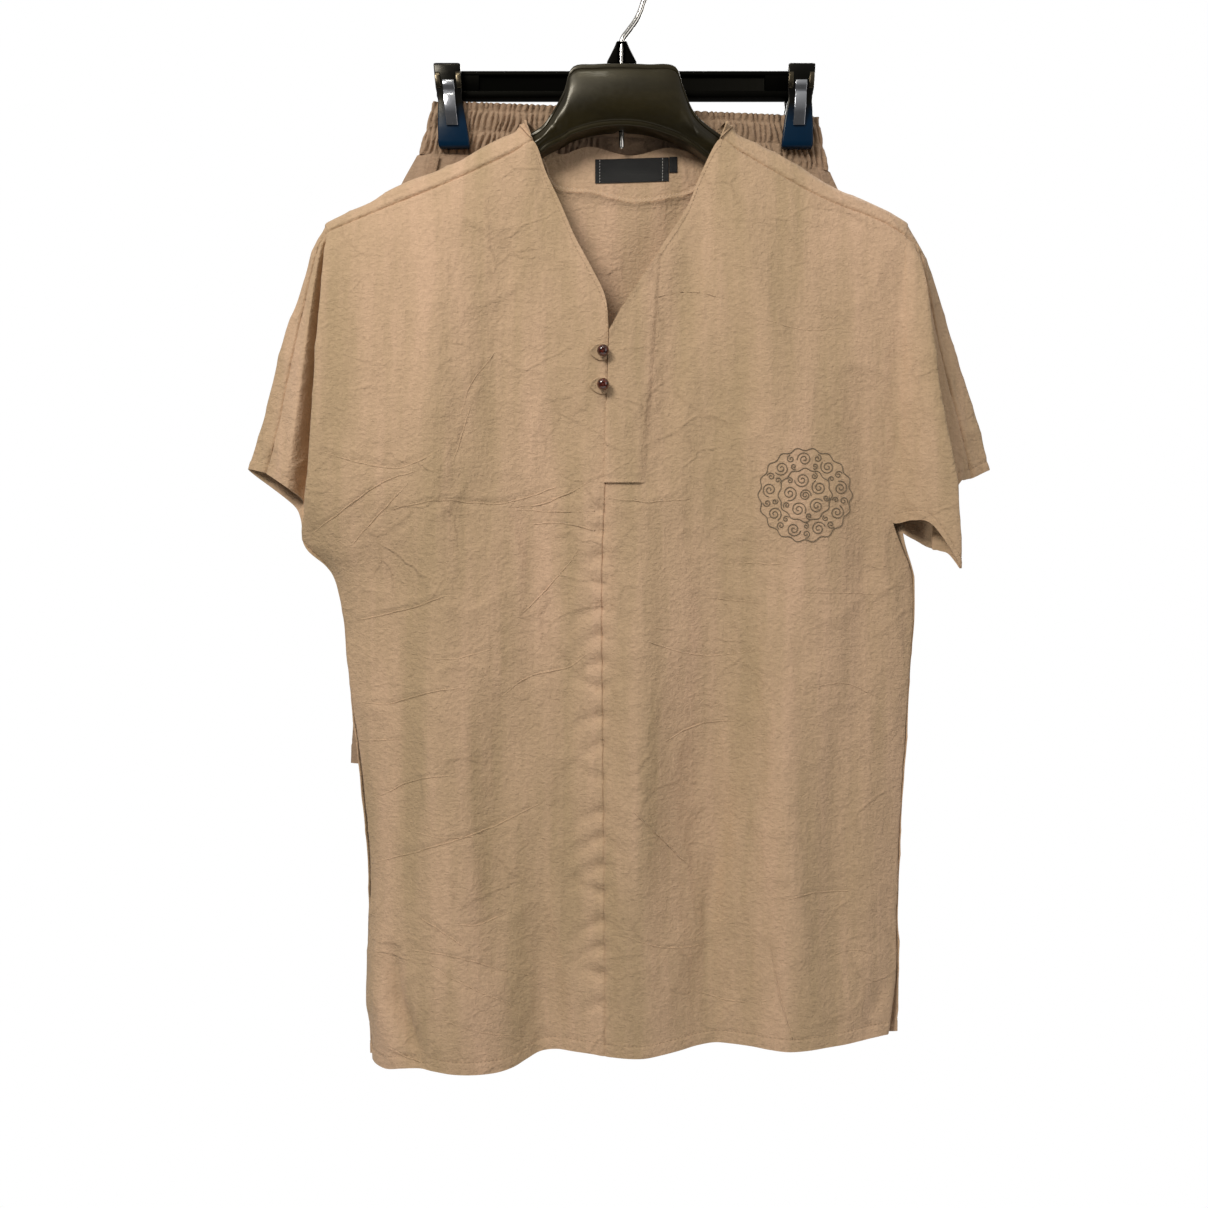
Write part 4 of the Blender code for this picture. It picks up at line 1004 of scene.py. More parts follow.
def shirt_back(rows, normals):
    total = 2 * (SLEEVE_COLS + SHOULDER_COLS) + len(BAND) - 8 + 1
    arm_l, arm_r = SLEEVE_COLS, total - SLEEVE_COLS
    steps_r = places(ROWS, 12, (0, ARM_ROW, ROWS), (0.02, 0.05, 0.22, 0.26, 0.3))
    steps_c = places(total, 4, (0, arm_l, arm_r, total), (0.05, 0.12))
    panel = Panel(rows, normals, steps_r, steps_c)
    sleeve = np.broadcast_to((steps_c < arm_l) | (steps_c > arm_r), panel.there.shape)
    top, bottom, first, last = panel.edges()
    wrinkle(panel, shown(panel.p), BACK_CREASES, BACK_FOLDS, sleeve)
    rumple(panel, np.minimum(bottom, top), 6.0, 8.0, 4.0)
    panel.height += seam_dip(top) + np.where(sleeve, seam_dip(np.minimum(first, last), 1.2, 0.9), 0)
    hem_relief(panel, bottom, ~sleeve, first)
    hem_relief(panel, bottom, sleeve, first, SLEEVE_HEM)
    return panel


def neckband(rows, normals):
    count = len(BAND) - 1
    panel = Panel(rows, normals, places(3, 12, (0, 3), (0.04,)), places(count, 9, (0, count), (0.08,)))
    top, bottom, _, _ = panel.edges()
    edge = np.minimum(top, bottom)
    panel.height += 0.5 * lumps(panel.p, 22.0, 1.0) * np.clip(edge / 8, 0, 1) + seam_dip(bottom, 0.6)
    panel.thick += 1.1 / (1 + np.exp((top - 1.5) / 0.5))
    panel.thick += 2.7 * np.exp(-((bottom - 1.9) / 1.3)**2)
    return panel


def hung_cloth(name, panel, flip, finish, flat):
    """Closed cloth for a panel, with its finish; the size that it was cut to is worked out but not kept."""
    item = finished(shell(name + "_cloth", panel, flip), finish, (name,), 60)
    min(panel.area() * MM * MM, flat[0] * flat[1])
    return item


def make_shirt():
    left, right, back, band, normals = shirt_grids()
    panels, made = {}, {}
    for name, panel, flip, cut in (("front_left", shirt_front(left, normals, False), False, (0.30, 0.74)),
                                   ("front_right", shirt_front(right, normals, True), True, (0.30, 0.74)),
                                   ("back", shirt_back(back, normals), False, (0.60, 0.74)),
                                   ("neckband", neckband(band, normals), False, (0.30, 0.04))):
        made[name] = hung_cloth(name, panel, flip, SHIRT, cut)
        panels[name] = panel
    return panels, made


def find_surface(items):
    """A search over the outer faces of several pieces."""
    points, faces = [], []
    for item in items:
        base = len(points)
        points += [v.co / MM for v in item.data.vertices]
        faces += [[base + k for k in f.vertices] for f in item.data.polygons]
    return BVHTree.FromPolygons(points, faces)


def onto(tree, face_point, lift):
    """Point on the surface under a point of the photo's plane, raised by lift."""
    aim = Vector((face_point[0], 0.0, face_point[1])) - Vector(EYE)
    spot, normal, _, _ = tree.ray_cast(Vector(EYE), aim.normalized())
    if spot is None:
        return None
    if normal.dot(aim) > 0:
        normal = -normal
    return np.array(spot + normal * lift)


def placket(tree):
    """Lapped strip on the right front, cut to the V at its head and stitched across its foot."""
    edge = np.array(V_RIGHT[::-1], float)
    (left_top, right_top), (left_foot, right_foot) = PLACKET_TOP_X, PLACKET_FOOT_X
    rows = []
    for t in np.linspace(0, 1, PLACKET_ROWS):
        row = []
        for s in np.linspace(0, 1, PLACKET_COLS):
            x_top = left_top + (right_top - left_top) * s
            z_top = np.interp(x_top, edge[:, 0], edge[:, 1]) - 1.6
            x = x_top + (left_foot + (right_foot - left_foot) * s - x_top) * t
            z = z_top + (PLACKET_FOOT - z_top) * t
            lift = 1.4 * min(1.0, (1 - s) * 3.4) - 0.75 * s**6
            p = onto(tree, (x, z), lift)
            if p is None:
                p = onto(tree, (x + 3.0, z - 3.0), lift) + (-3.0, 0, 3.0)
            row.append(p)
        rows.append(row)
    steps_r, steps_c = np.arange(float(PLACKET_ROWS)), np.arange(float(PLACKET_COLS))
    panel = Panel(rows, share_normals([(rows, True)]), steps_r, steps_c)
    _, bottom, first, last = panel.edges()
    for height, distance, inset, width in ((0.35, first, 1.5, 1.2), (-0.6, bottom, 3.0, 1.0),
                                           (0.5, last, 7.5, 3.0)):
        panel.height += height * np.exp(-((distance - inset) / width)**2)
    hung_cloth("placket", panel, True, SHIRT, (0.046, 0.19))
    return panel


def pressed_ridges(tree, items):
    """Crisp crests along the pressed creases, joined to the front that each lies on."""
    found = {name: ([], []) for name in items}
    for depth, _, line in CREASES:
        flat = np.array([px(*p) for p in line])
        length = np.linalg.norm(np.diff(flat, axis=0), axis=1).sum()
        path = smooth([(p[0], p[1], 0) for p in flat], max(8, int(length / 2.2)))[:, :2]
        points, faces = found["front_left" if flat[:, 0].mean() < CENTRE_X else "front_right"]
        last = None
        for k, p in enumerate(path):
            ahead = path[min(k + 1, len(path) - 1)] - path[max(k - 1, 0)]
            across = np.array([-ahead[1], ahead[0]]) / np.linalg.norm(ahead)
            wander = 0.9 * noise.noise(Vector((p[0] / 11, p[1] / 11, depth * 9)))
            swell = max(0.0, math.sin(math.pi * k / (len(path) - 1)))**0.6
            swell *= 0.55 + 0.8 * abs(noise.noise(Vector((p[0] / 9, 4.0, p[1] / 9))))
            middle = p + across * wander
            spots = [onto(tree, middle + across * off, lift)
                     for off, lift in ((1.15, -0.16), (0.1, 0.42 * depth * swell), (-0.7, -0.16))]
            if any(q is None for q in spots):
                if last is None:
                    continue
                break
            base = len(points)
            points += spots
            if last is None:
                faces.append([base, base + 1, base + 2])
            else:
                faces += [[last + a, base + a, base + b, last + b] for a, b in ((0, 1), (1, 2), (2, 0))]
            last = base
        if last is not None:
            faces.append([last + 2, last + 1, last])
    for name, item in items.items():
        points, faces = found[name]
        mesh = bpy.data.meshes.new(name + "_ridges")
        mesh.from_pydata((np.array(points) * MM).tolist(), [], faces)
        thread_map(mesh, np.array(points)[:, [0, 2]] * MM)
        mesh.shade_smooth()
        turned_out(mesh)
        made = bmesh.new()
        made.from_mesh(item.data)
        made.from_mesh(mesh)
        made.to_mesh(item.data)
        made.free()


# Sewing, made along paths by one tree

def start_tree(name, sizes, finish):
    """An empty tree with its inputs: the geometry, the named sizes and the finish."""
    tree = bpy.data.node_groups.new(name, "GeometryNodeTree")
    sockets = [("Geometry", "Geometry")] + [(size, "Float") for size in sizes] + [(finish, "Material")]
    for label, kind in sockets:
        tree.interface.new_socket(label, in_out="INPUT", socket_type="NodeSocket" + kind)
    tree.interface.new_socket("Geometry", in_out="OUTPUT", socket_type="NodeSocketGeometry")
    return tree, tree.nodes.new("NodeGroupInput").outputs


def end_tree(tree, geometry, finish):
    """Makes a tree's instances real, gives them their finish and hands them out."""
    real = node(tree, "GeometryNodeRealizeInstances", {"Geometry": geometry})
    tinted = node(tree, "GeometryNodeSetMaterial", {"Geometry": real.outputs[0], "Material": finish})
    tree.links.new(tinted.outputs[0], tree.nodes.new("NodeGroupOutput").inputs[0])
    return tree


def stitch_tree():
    """Short thread ends laid along a curve: their pitch, length and thickness are named inputs."""
    tree, start = start_tree("stitching", ("Pitch", "Length", "Thickness"), "Thread")
    spots = node(tree, "GeometryNodeCurveToPoints", {"Curve": start["Geometry"], "Length": start["Pitch"]},
                 mode="LENGTH").outputs
    bead = node(tree, "GeometryNodeMeshIcoSphere", {"Radius": 0.5, "Subdivisions": 1})
    smooth_bead = node(tree, "GeometryNodeSetShadeSmooth", {"Geometry": bead.outputs["Mesh"]})
    thick = start["Thickness"]
    size = node(tree, "ShaderNodeCombineXYZ", {"X": thick, "Y": thick, "Z": start["Length"]}).outputs[0]
    inputs = {"Geometry": smooth_bead.outputs[0], "Scale": size}
    drawn = node(tree, "GeometryNodeTransform", inputs).outputs[0]
    inputs = {"Points": spots["Points"], "Instance": drawn, "Rotation": spots["Rotation"]}
    laid = node(tree, "GeometryNodeInstanceOnPoints", inputs)
    return end_tree(tree, laid.outputs[0], start["Thread"])


def grow(name, source, tree, values):
    """Runs a tree on a mesh or curve and keeps the result as a plain mesh."""
    seed = bpy.data.objects.new(name + "_path", source)
    bpy.context.scene.collection.objects.link(seed)
    made = seed.modifiers.new("grow", "NODES")
    made.node_group = tree
    for socket in tree.interface.items_tree:
        if socket.in_out == "INPUT" and socket.name in values:
            made[socket.identifier] = values[socket.name]
    bpy.context.view_layer.update()
    depsgraph = bpy.context.evaluated_depsgraph_get()
    mesh = bpy.data.meshes.new_from_object(seed.evaluated_get(depsgraph), depsgraph=depsgraph)
    bpy.data.objects.remove(seed)
    item = bpy.data.objects.new(name, mesh)
    bpy.context.scene.collection.objects.link(item)
    return item


STITCHES = stitch_tree()


def sew(name, paths, pitch, length, thickness, thread, slot):
    """Thread ends along paths, which are first laid as one curve of straight-sided lines, in metres."""
    data = bpy.data.curves.new(name + "_paths", "CURVE")
    data.dimensions = "3D"
    for path in paths:
        if len(path) > 1:
            line = data.splines.new("POLY")
            line.points.add(len(path) - 1)
            for point, p in zip(line.points, path):
                point.co = (p[0] * MM, p[1] * MM, p[2] * MM, 1.0)
    item = grow(name, data, STITCHES,
                {"Pitch": pitch * MM, "Length": length * MM, "Thickness": thickness * MM, "Thread": thread})
    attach(item, "root")
    return item


def line_at(panel, distance, inset, keep, upright=False, lift=0.12):
    """Lines on the outside of a panel where a distance along its columns, or its rows, passes an inset."""
    outer = panel.outer() + panel.n * lift
    there = panel.there & keep
    if upright:
        outer, distance, there = outer.swapaxes(0, 1), distance.T, there.T
    paths, path = [], []
    for i in range(distance.shape[1]):
        rows = np.flatnonzero(there[:, i])
        spot = None
        for a, b in zip(rows, rows[1:]):
            low, high = distance[a, i], distance[b, i]
            if b == a + 1 and (low - inset) * (high - inset) <= 0 and low != high:
                s = (inset - low) / (high - low)
                spot = outer[a, i] * (1 - s) + outer[b, i] * s
                break
        if spot is None:
            paths.append(path)
            path = []
        else:
            path.append(spot)
    return [path for path in paths + [path] if path]


# Shorts

def hang(a, drop, y):
    """Point of the shorts from its own frame: a across, drop down from the band's top, y deep."""
    c, s = math.cos(SHORTS_TILT), math.sin(SHORTS_TILT)
    return np.array([SHORTS_MID[0] + a * c - drop * s, y, SHORTS_MID[2] - drop * c - a * s])


def attribute(tree, name, kind="FLOAT"):
    return node(tree, "GeometryNodeInputNamedAttribute", {"Name": name}, data_type=kind).outputs[0]


def gather_tree():
    """Draws a plain band into uneven gathers: spacing, depth and unevenness are named inputs."""
    tree, start = start_tree("gathers", ("Spacing", "Depth", "Unevenness"), "Cloth")
    around = attribute(tree, "around")
    where = node(tree, "ShaderNodeCombineXYZ", {"X": around, "Y": attribute(tree, "drop")}).outputs[0]
    wander = noise_in(tree, where, 62.0, 1.0)[0]
    swell = noise_in(tree, where, 95.0, 1.0)[0]
    phase = worked(tree, "ADD", worked(tree, "DIVIDE", around, start["Spacing"]),
                   worked(tree, "MULTIPLY", wander, start["Unevenness"]))
    crest = worked(tree, "ABSOLUTE", worked(tree, "SINE", worked(tree, "MULTIPLY", phase, math.pi)))
    wave = worked(tree, "MULTIPLY_ADD", crest, 2.0, -1.25)
    sized = worked(tree, "MULTIPLY", wave, ranged(tree, swell, 0.3, 0.7, 0.45, 1.35))
    deep = worked(tree, "MULTIPLY", sized, start["Depth"])
    move = node(tree, "ShaderNodeVectorMath", {0: attribute(tree, "push", "FLOAT_VECTOR"), "Scale": deep},
                operation="SCALE")
    moved = node(tree, "GeometryNodeSetPosition", {"Geometry": start["Geometry"], "Offset": move.outputs[0]})
    return end_tree(tree, moved.outputs[0], start["Cloth"])


def waistband():
    """A ring of cloth drawn up on two rows of elastic, plain inside."""
    points, push, around, drops = [], [], [], []
    turn = 2 * math.pi * np.arange(BAND_COLUMNS) / BAND_COLUMNS
    f = np.abs(np.cos(turn))**0.55 * np.sign(np.cos(turn))
    g = np.abs(np.sin(turn))**0.35 * np.sign(np.sin(turn))
    for drop, half, depth, free in BAND_ROWS + BAND_INSIDE:
        ring = np.array([hang(half * a, drop, SHORTS_MID[1] - depth * b) for a, b in zip(f, g)])
        run = np.concatenate([[0], np.cumsum(np.linalg.norm(np.diff(ring, axis=0), axis=1))])
        ahead = np.roll(ring, -1, axis=0) - np.roll(ring, 1, axis=0)
        out = np.cross(ahead, np.array([0, 0, 1.0]))
        out = out / np.linalg.norm(out, axis=1, keepdims=True)
        out = out * np.sign(np.sum(out * (ring - ring.mean(axis=0)), axis=1, keepdims=True))
        points += list(ring)
        push += list(out * free)
        around += list(run / run[-1] * BAND_ROUND)
        drops += [drop * MM] * BAND_COLUMNS
    mesh = bpy.data.meshes.new("waistband_plain")
    faces = ring_faces(len(BAND_ROWS + BAND_INSIDE), BAND_COLUMNS, True)
    mesh.from_pydata((np.array(points) * MM).tolist(), [], faces)
    turned_out(mesh)
    mesh.attributes.new("push", "FLOAT_VECTOR", "POINT").data.foreach_set("vector", np.array(push).ravel())
    mesh.attributes.new("around", "FLOAT", "POINT").data.foreach_set("value", around)
    mesh.attributes.new("drop", "FLOAT", "POINT").data.foreach_set("value", drops)
    thread_map(mesh, np.stack([around, drops], 1))
    item = grow("waistband_cloth", mesh, gather_tree(),
                {"Spacing": 0.0047, "Depth": 0.0017, "Unevenness": 2.3, "Cloth": SHORTS})
    finished(item, SHORTS, ("waistband",), 60)


def shorts_grids():
    side = smooth([(a, d, 0) for a, d in SHORTS_SIDE], LEG_ROWS)
    grids = {}
    for lr in (-1, 1):
        for fb in ("front", "back"):
            rows = []
            for j in range(LEG_ROWS + 1):
                v = j / LEG_ROWS
                wide, drop = side[j][0], side[j][1]
                inner = 0.0 if drop < CROTCH else 1.3 + 8.0 * (drop - CROTCH) / (LEG_DROP - CROTCH)
                fork = min(1.0, max(0.0, (drop - CROTCH + 70) / 60))
                row = []
                for i in range(LEG_COLS + 1):
                    u = i / LEG_COLS
                    a = lr * (inner + (wide - inner) * u)
                    body = min(1.0, (1 - u) * 9)**0.6
                    body *= min(1.0, u * 9 + 1 - fork)**0.6
                    bend = math.sin(u * (21 + lr)) * (0.35 + 0.65 * v)
                    if fb == "front":
                        y = 19.0 - body * (6.0 + 0.9 * bend)
                    else:
                        y = 19.0 + body * (4.8 + 7.0 * v + 2.4 * bend)
                    row.append(hang(a, drop - 0.25, y))
                rows.append(row)
            grids[(lr, fb)] = rows
    return grids


def shorts():
    """Four leg panels with soft folds from the gathers, turned hems and pressed creases."""
    grids = shorts_grids()
    flips = {(lr, fb): (lr < 0) == (fb == "back") for lr, fb in grids}
    normals = share_normals([(rows, flips[leg]) for leg, rows in grids.items()])
    for (lr, fb), rows in grids.items():
        panel = Panel(rows, normals, places(LEG_ROWS, 11, (0, LEG_ROWS), (0.03, 0.4, 0.46, 0.52)),
                      places(LEG_COLS, 5, (0, LEG_COLS), (0.06, 0.14)))
        face = panel.p[..., [0, 2]]
        top, bottom, first, last = panel.edges()
        gathers = np.sin(first / 1.55 + 1.3 * np.sin(first / 9)) * np.exp(-top / 16)
        gathers += 1.6 * np.sin(first / 4.1 + 1.9 * np.sin(first / 23)) * np.exp(-top / 60)
        still = np.clip(np.minimum(np.minimum(first, last), bottom) / 12, 0, 1)
        panel.height += 0.55 * gathers * still * np.clip(top / 4, 0, 1)
        for depth, width, line in SHORTS_CREASES:
            panel.height += crease(face, depth, width, line) * still
        panel.height += (0.8 * crumple(panel.p, 44.0, 4.0 + lr) + 0.4 * crumple(panel.p, 20.0, 7.0)) * still
        panel.height += seam_dip(first) + seam_dip(last)
        if fb == "front":
            panel.height = np.maximum(panel.height, -0.6)
        hem_relief(panel, bottom, np.ones(panel.there.shape, bool), first, SHORTS_HEM)
        name = "shorts_%s_%s" % (fb, "left" if lr < 0 else "right")
        hung_cloth(name, panel, flips[(lr, fb)], SHORTS, (0.26, 0.52))
    return grids


def surface_y(rows, x, z):
    """Depth of a coarse front-facing grid over x and z."""
    for j in range(len(rows) - 1):
        for i in range(len(rows[0]) - 1):
            p = [rows[j][i], rows[j][i + 1], rows[j + 1][i + 1], rows[j + 1][i]]
            for t in ((0, 1, 2), (0, 2, 3)):
                a, b, c = (p[k] for k in t)
                m = np.array([[b[0] - a[0], c[0] - a[0]], [b[2] - a[2], c[2] - a[2]]])
                if abs(np.linalg.det(m)) < 1e-9:
                    continue
                s = np.linalg.solve(m, np.array([x - a[0], z - a[2]]))
                if s[0] >= -0.02 and s[1] >= -0.02 and s.sum() <= 1.04:
                    return float(a[1] + s[0] * (b[1] - a[1]) + s[1] * (c[1] - a[1]))
    return None


def pockets(grids):
    """Welts along the slanted pocket mouths, and the lines of their stitches."""
    paths = []
    for lr, side in ((-1, "left"), (1, "right")):
        rows = []
        for t in np.linspace(0, 1, 21):
            row = []
            for s in np.linspace(0, 1, 5):
                p = hang(lr * (146 + 27 * t + 9 * s), 44.5 + 150 * t, 0)
                row.append(np.array([p[0], surface_y(grids[(lr, "front")], p[0], p[2]) - 2.2, p[2]]))
            rows.append(row)
        panel = Panel(rows, share_normals([(rows, lr > 0)]), places(20, 3, (), ()), places(4, 4, (), ()))
        _, _, first, last = panel.edges()
        panel.height += 0.25 * np.exp(-((np.minimum(first, last) - 1.4) / 0.9)**2)
        name = "pocket_" + side
        item = finished(shell(name + "_cloth", panel, lr > 0), SHORTS, (name,), 60)
        paths += line_at(panel, first, 2.6, panel.there, True)
    return paths


# Hangers

def ring_at(x, section):
    return [np.array([x, y, z]) for y, z in section]


def shirt_hanger():
    """Channel open at the back: raised rim round a pillowed face, thin walls behind."""
    stations = [np.array(s, float) for s in ARM_LEFT[::-1]]
    stations += [np.array([x, zt, zb, -14, 3.0]) for x, zt, zb in PLATE]
    stations += [np.array(s, float) for s in ARM_RIGHT]
    line = smooth(stations, 170)
    wall, rings = 2.0, []
    for x, zt, zb, yf, yb in line:
        if abs(x) < 3.3:
            yb = -3.2
        yf -= 2.2 * max(0.0, 1 - (x / 46)**2)
        half = (zt - zb) / 2
        s = min(1.0, half / 9.5)
        swell = 1.6 if half < 14 else 2.8
        mid = (zt + zb) / 2
        face = [(yf - out * s if out > 0 else yf - out, zt - d * s) for d, out in RIM]
        crown = [(yf - (1.2 + swell * s * (1 - (q / 0.58)**2)) * s, mid + q * (half - 7.6 * s) * 1.7)
                 for q in (0.5, 0.4, 0.25, 0.1, -0.1, -0.25, -0.4, -0.5)]
        foot = [(y, zt + zb - z) for y, z in face[::-1]]
        inside = [(yb, zb), (yb, zb + wall), (yf + wall + 1.0, zb + wall), (yf + wall + 0.4, zb + wall + 0.8),
                  (yf + wall, mid), (yf + wall + 0.4, zt - wall - 0.8), (yf + wall + 1.0, zt - wall),
                  (yb, zt - wall), (yb, zt)]
        rings.append(ring_at(x, face + crown + foot + inside))
    finished(tube_loft("shirt_hanger_moulding", rings), BLACK, ("shirt_hanger",), 35)
    return line


def rib_tree():
    """Upright ribs set along a line of points, each as tall as its point says."""
    tree, start = start_tree("ribs", ("Thickness", "Depth"), "Plastic")
    slab = node(tree, "GeometryNodeMeshCube", {"Size": (1, 1, 1)})
    size = node(tree, "ShaderNodeCombineXYZ", {"X": start["Thickness"], "Y": start["Depth"],
                                               "Z": attribute(tree, "tall")})
    spots = node(tree, "GeometryNodeMeshToPoints", {"Mesh": start["Geometry"]})
    inputs = {"Points": spots.outputs[0], "Instance": slab.outputs[0], "Scale": size.outputs[0]}
    laid = node(tree, "GeometryNodeInstanceOnPoints", inputs)
    return end_tree(tree, laid.outputs[0], start["Plastic"])


def hanger_ribs(line):
    """Stiffening ribs inside the open back of the shirt hanger."""
    spots, heights = [], []
    for at in [-x for x in RIBS_AT[::-1]] + RIBS_AT:
        x, zt, zb, yf, yb = line[np.argmin(np.abs(line[:, 0] - at))]
        spots.append(tuple(np.array([x, (yf + 1.6 + yb - 1.5) / 2, (zt + zb) / 2]) * MM))
        heights.append((zt - zb - 2.4) * MM)
    mesh = bpy.data.meshes.new("hanger_ribs_spots")
    mesh.from_pydata(spots, [], [])
    mesh.attributes.new("tall", "FLOAT", "POINT").data.foreach_set("value", heights)
    item = grow("hanger_ribs", mesh, rib_tree(), {"Thickness": 1.3 * MM, "Depth": 8.0 * MM, "Plastic": BLACK})
    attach(item, "root")


def hook():
    """One wire up through both hangers and round its loop, with rounded ends."""
    path = [np.array([x, 0.0, z]) for x, z in smooth(HOOK_FOOT, 60)]
    middle = np.array([0.0, 0.0, -(LOOP_R - WIRE_R)])
    for a in np.linspace(-30, 196, 104):
        t = math.radians(a)
        path.append(middle + LOOP_R * np.array([math.cos(t), 0, math.sin(t)]))
    end = len(path) - 1
    ends = {0: ((0.0, 0.35), (0.35, 0.75), (0.8, 1.0)), end: ((-0.8, 1.0), (-0.35, 0.75), (0.0, 0.35))}
    rings = []
    for k, p in enumerate(path):
        d = path[min(k + 1, end)] - path[max(k - 1, 0)]
        d = d / np.linalg.norm(d)
        across = np.cross(d, (0, 1, 0))
        across = across / np.linalg.norm(across)
        up = np.cross(across, d)
        for step, r in ends.get(k, ((0.0, 1.0),)):
            c = p + d * step * WIRE_R
            rings.append([c + WIRE_R * r * (across * math.cos(t) + up * math.sin(t)) for t in circle(20)])
    finished(tube_loft("hook_wire", rings), CHROME, ("hook",), 60)


def clip_hanger():
    """Bar with a recessed face between its two flanges, ends that taper off, and a gusset for the hook."""
    y0, y1 = BAR_DEPTH
    rings = []
    for x, cut, dip in BAR_STATIONS:
        top, foot = BAR_TOP - dip, BAR_FOOT + dip * 0.3
        front = [(y0 + 1.0, top), (y0 + 0.3, top - 0.3), (y0, top - 1.0), (y0, top - 2.8),
                 (y0 + 0.4, top - 3.4), (y0 + cut, top - 4.0), (y0 + cut, foot + 6.0), (y0 + 0.4, foot + 5.3),
                 (y0, foot + 4.6), (y0, foot + 1.0), (y0 + 0.3, foot + 0.3), (y0 + 1.0, foot)]
        rings.append(ring_at(x, front + [(y0 + y1 - y, z) for y, z in front[::-1]]))
    finished(tube_loft("bar_moulding", rings), BAR, ("clip_hanger",), 30)
    rings = []
    for z, half, rear in GUSSET_STATIONS:
        section = [(-half, -3.4), (-half + 0.5, -4.4), (-half + 1.6, -4.6), (-3.6, -4.6), (-2.8, -3.8),
                   (-2.75, 2.8), (2.75, 2.8), (2.8, -3.8), (3.6, -4.6), (half - 1.6, -4.6),
                   (half - 0.5, -4.4), (half, -3.4), (half, rear - 1), (half - 1, rear), (-half + 1, rear),
                   (-half, rear - 1)]
        rings.append([np.array([0.6 + x, y, z]) for x, y in section])
    finished(tube_loft("gusset_moulding", rings), BAR, ("gusset",), 30)


def soft_box(x0, x1, y0, y1, r):
    """Rounded corner outline in two directions, as pairs."""
    found = []
    left, right, near, far = x0 + r, x1 - r, y0 + r, y1 - r
    for cx, cy, a0 in ((right, far, 0), (left, far, 90), (left, near, 180), (right, near, 270)):
        for a in (0, 30, 60, 90):
            t = math.radians(a0 + a)
            found.append((cx + r * math.cos(t), cy + r * math.sin(t)))
    return found


def clip_part(name, side, rows, corner, finish, replaced, sharp):
    """A part that leans with its clip, from rows of height, place across, half width, front and back."""
    x0, lean = CLIPS[side]
    rings = []
    for z, off, half, front, back in rows:
        x = x0 - lean * (z + 110) + off
        rings.append([np.array([p, q, z]) for p, q in soft_box(x - half, x + half, front, back, corner)])
    finished(tube_loft(name, rings), finish, replaced, sharp)


def clips():
    """Pressed jaws with a narrow waist, side ears and a bright sprung strip down the front."""
    for side in CLIPS:
        for part, out_y, in_y, grip in (("front", 4.6, 10.6, 1), ("back", 31.6, 25.4, -1)):
            rows = []
            for z, half, out, inn in JAW:
                a, b = out_y + out * grip, in_y - inn * grip
                rows.append((z, 0.0, half, min(a, b), max(a, b)))
            name = "clip_%s_%s" % (side, part)
            clip_part(name + "_jaw", side, rows, 1.1, CLIP, (name,), 35)
        rows = [(z, 0.0, 4.5, 3.5 - out, 4.3 - out) for z, out in STRIP_LINE]
        clip_part("clip_%s_strip" % side, side, rows, 0.3, STRIP, ("clip_%s_spring" % side,), 40)
        for way, place in ((-1, "out"), (1, "in")):
            rows = [(z, way * 8.2, 1.9, 4.5 - out, 5.3) for z, out in EAR_LINE]
            clip_part("clip_%s_ear_%s" % (side, place), side, rows, 0.35, EAR, (), 40)


# Beads, labels and the round motif

def beads(tree):
    """Polished beads, each held by a pointed tab with a rolled edge."""
    for name, z in zip(("upper", "lower"), BEAD_Z):
        x, z = EYE[0] + (BEAD_X - EYE[0]) * BEAD_NEARER, EYE[2] + (z - EYE[2]) * BEAD_NEARER
        outline = smooth([(x + 3.0, 0, z + 5.6), (x - 2.0, 0, z + 6.8), (x - 6.8, 0, z + 4.6),
                          (x - 10.5, 0, z), (x - 6.8, 0, z - 4.6), (x - 2.0, 0, z - 6.8),
                          (x + 3.0, 0, z - 5.6)], 30)
        spots = [tree.ray_cast(Vector((min(p[0], -14.5), -200.0, p[2])), BACKWARD)[0] for p in outline]
        y = min(s.y for s in spots if s is not None) - 0.2
        mid = np.array([x - 3.0, 0, z])
        rings = []
        for inset, depth in ((0.0, 0.0), (0.0, -0.7), (0.35, -1.1), (0.9, -1.2), (1.5, -1.0), (2.2, -0.75)):
            rings.append([mid + (p - mid) * (1 - inset / 6.5) + np.array([0, y + depth, 0]) for p in outline])
        item = tube_loft("tab_" + name, rings)
        thread_map(item.data, [(v.co.x, v.co.z) for v in item.data.vertices])
        finished(item, SHIRT, ("loop_" + name,), 40)
        rings = []
        for a in np.linspace(-86, 86, 25):
            r, h = 4.7 * math.cos(math.radians(a)), 4.45 * math.sin(math.radians(a))
            dent = 0.5 * math.exp(-(r / 0.9)**2) * (-1 if h < 0 else 1)
            rings.append([np.array([x + r * math.cos(t), y - 5.8 + h - dent, z + r * math.sin(t)])
                          for t in circle(32)])
        finished(tube_loft("bead_" + name, rings), AMBER, ("button_" + name,), 60)


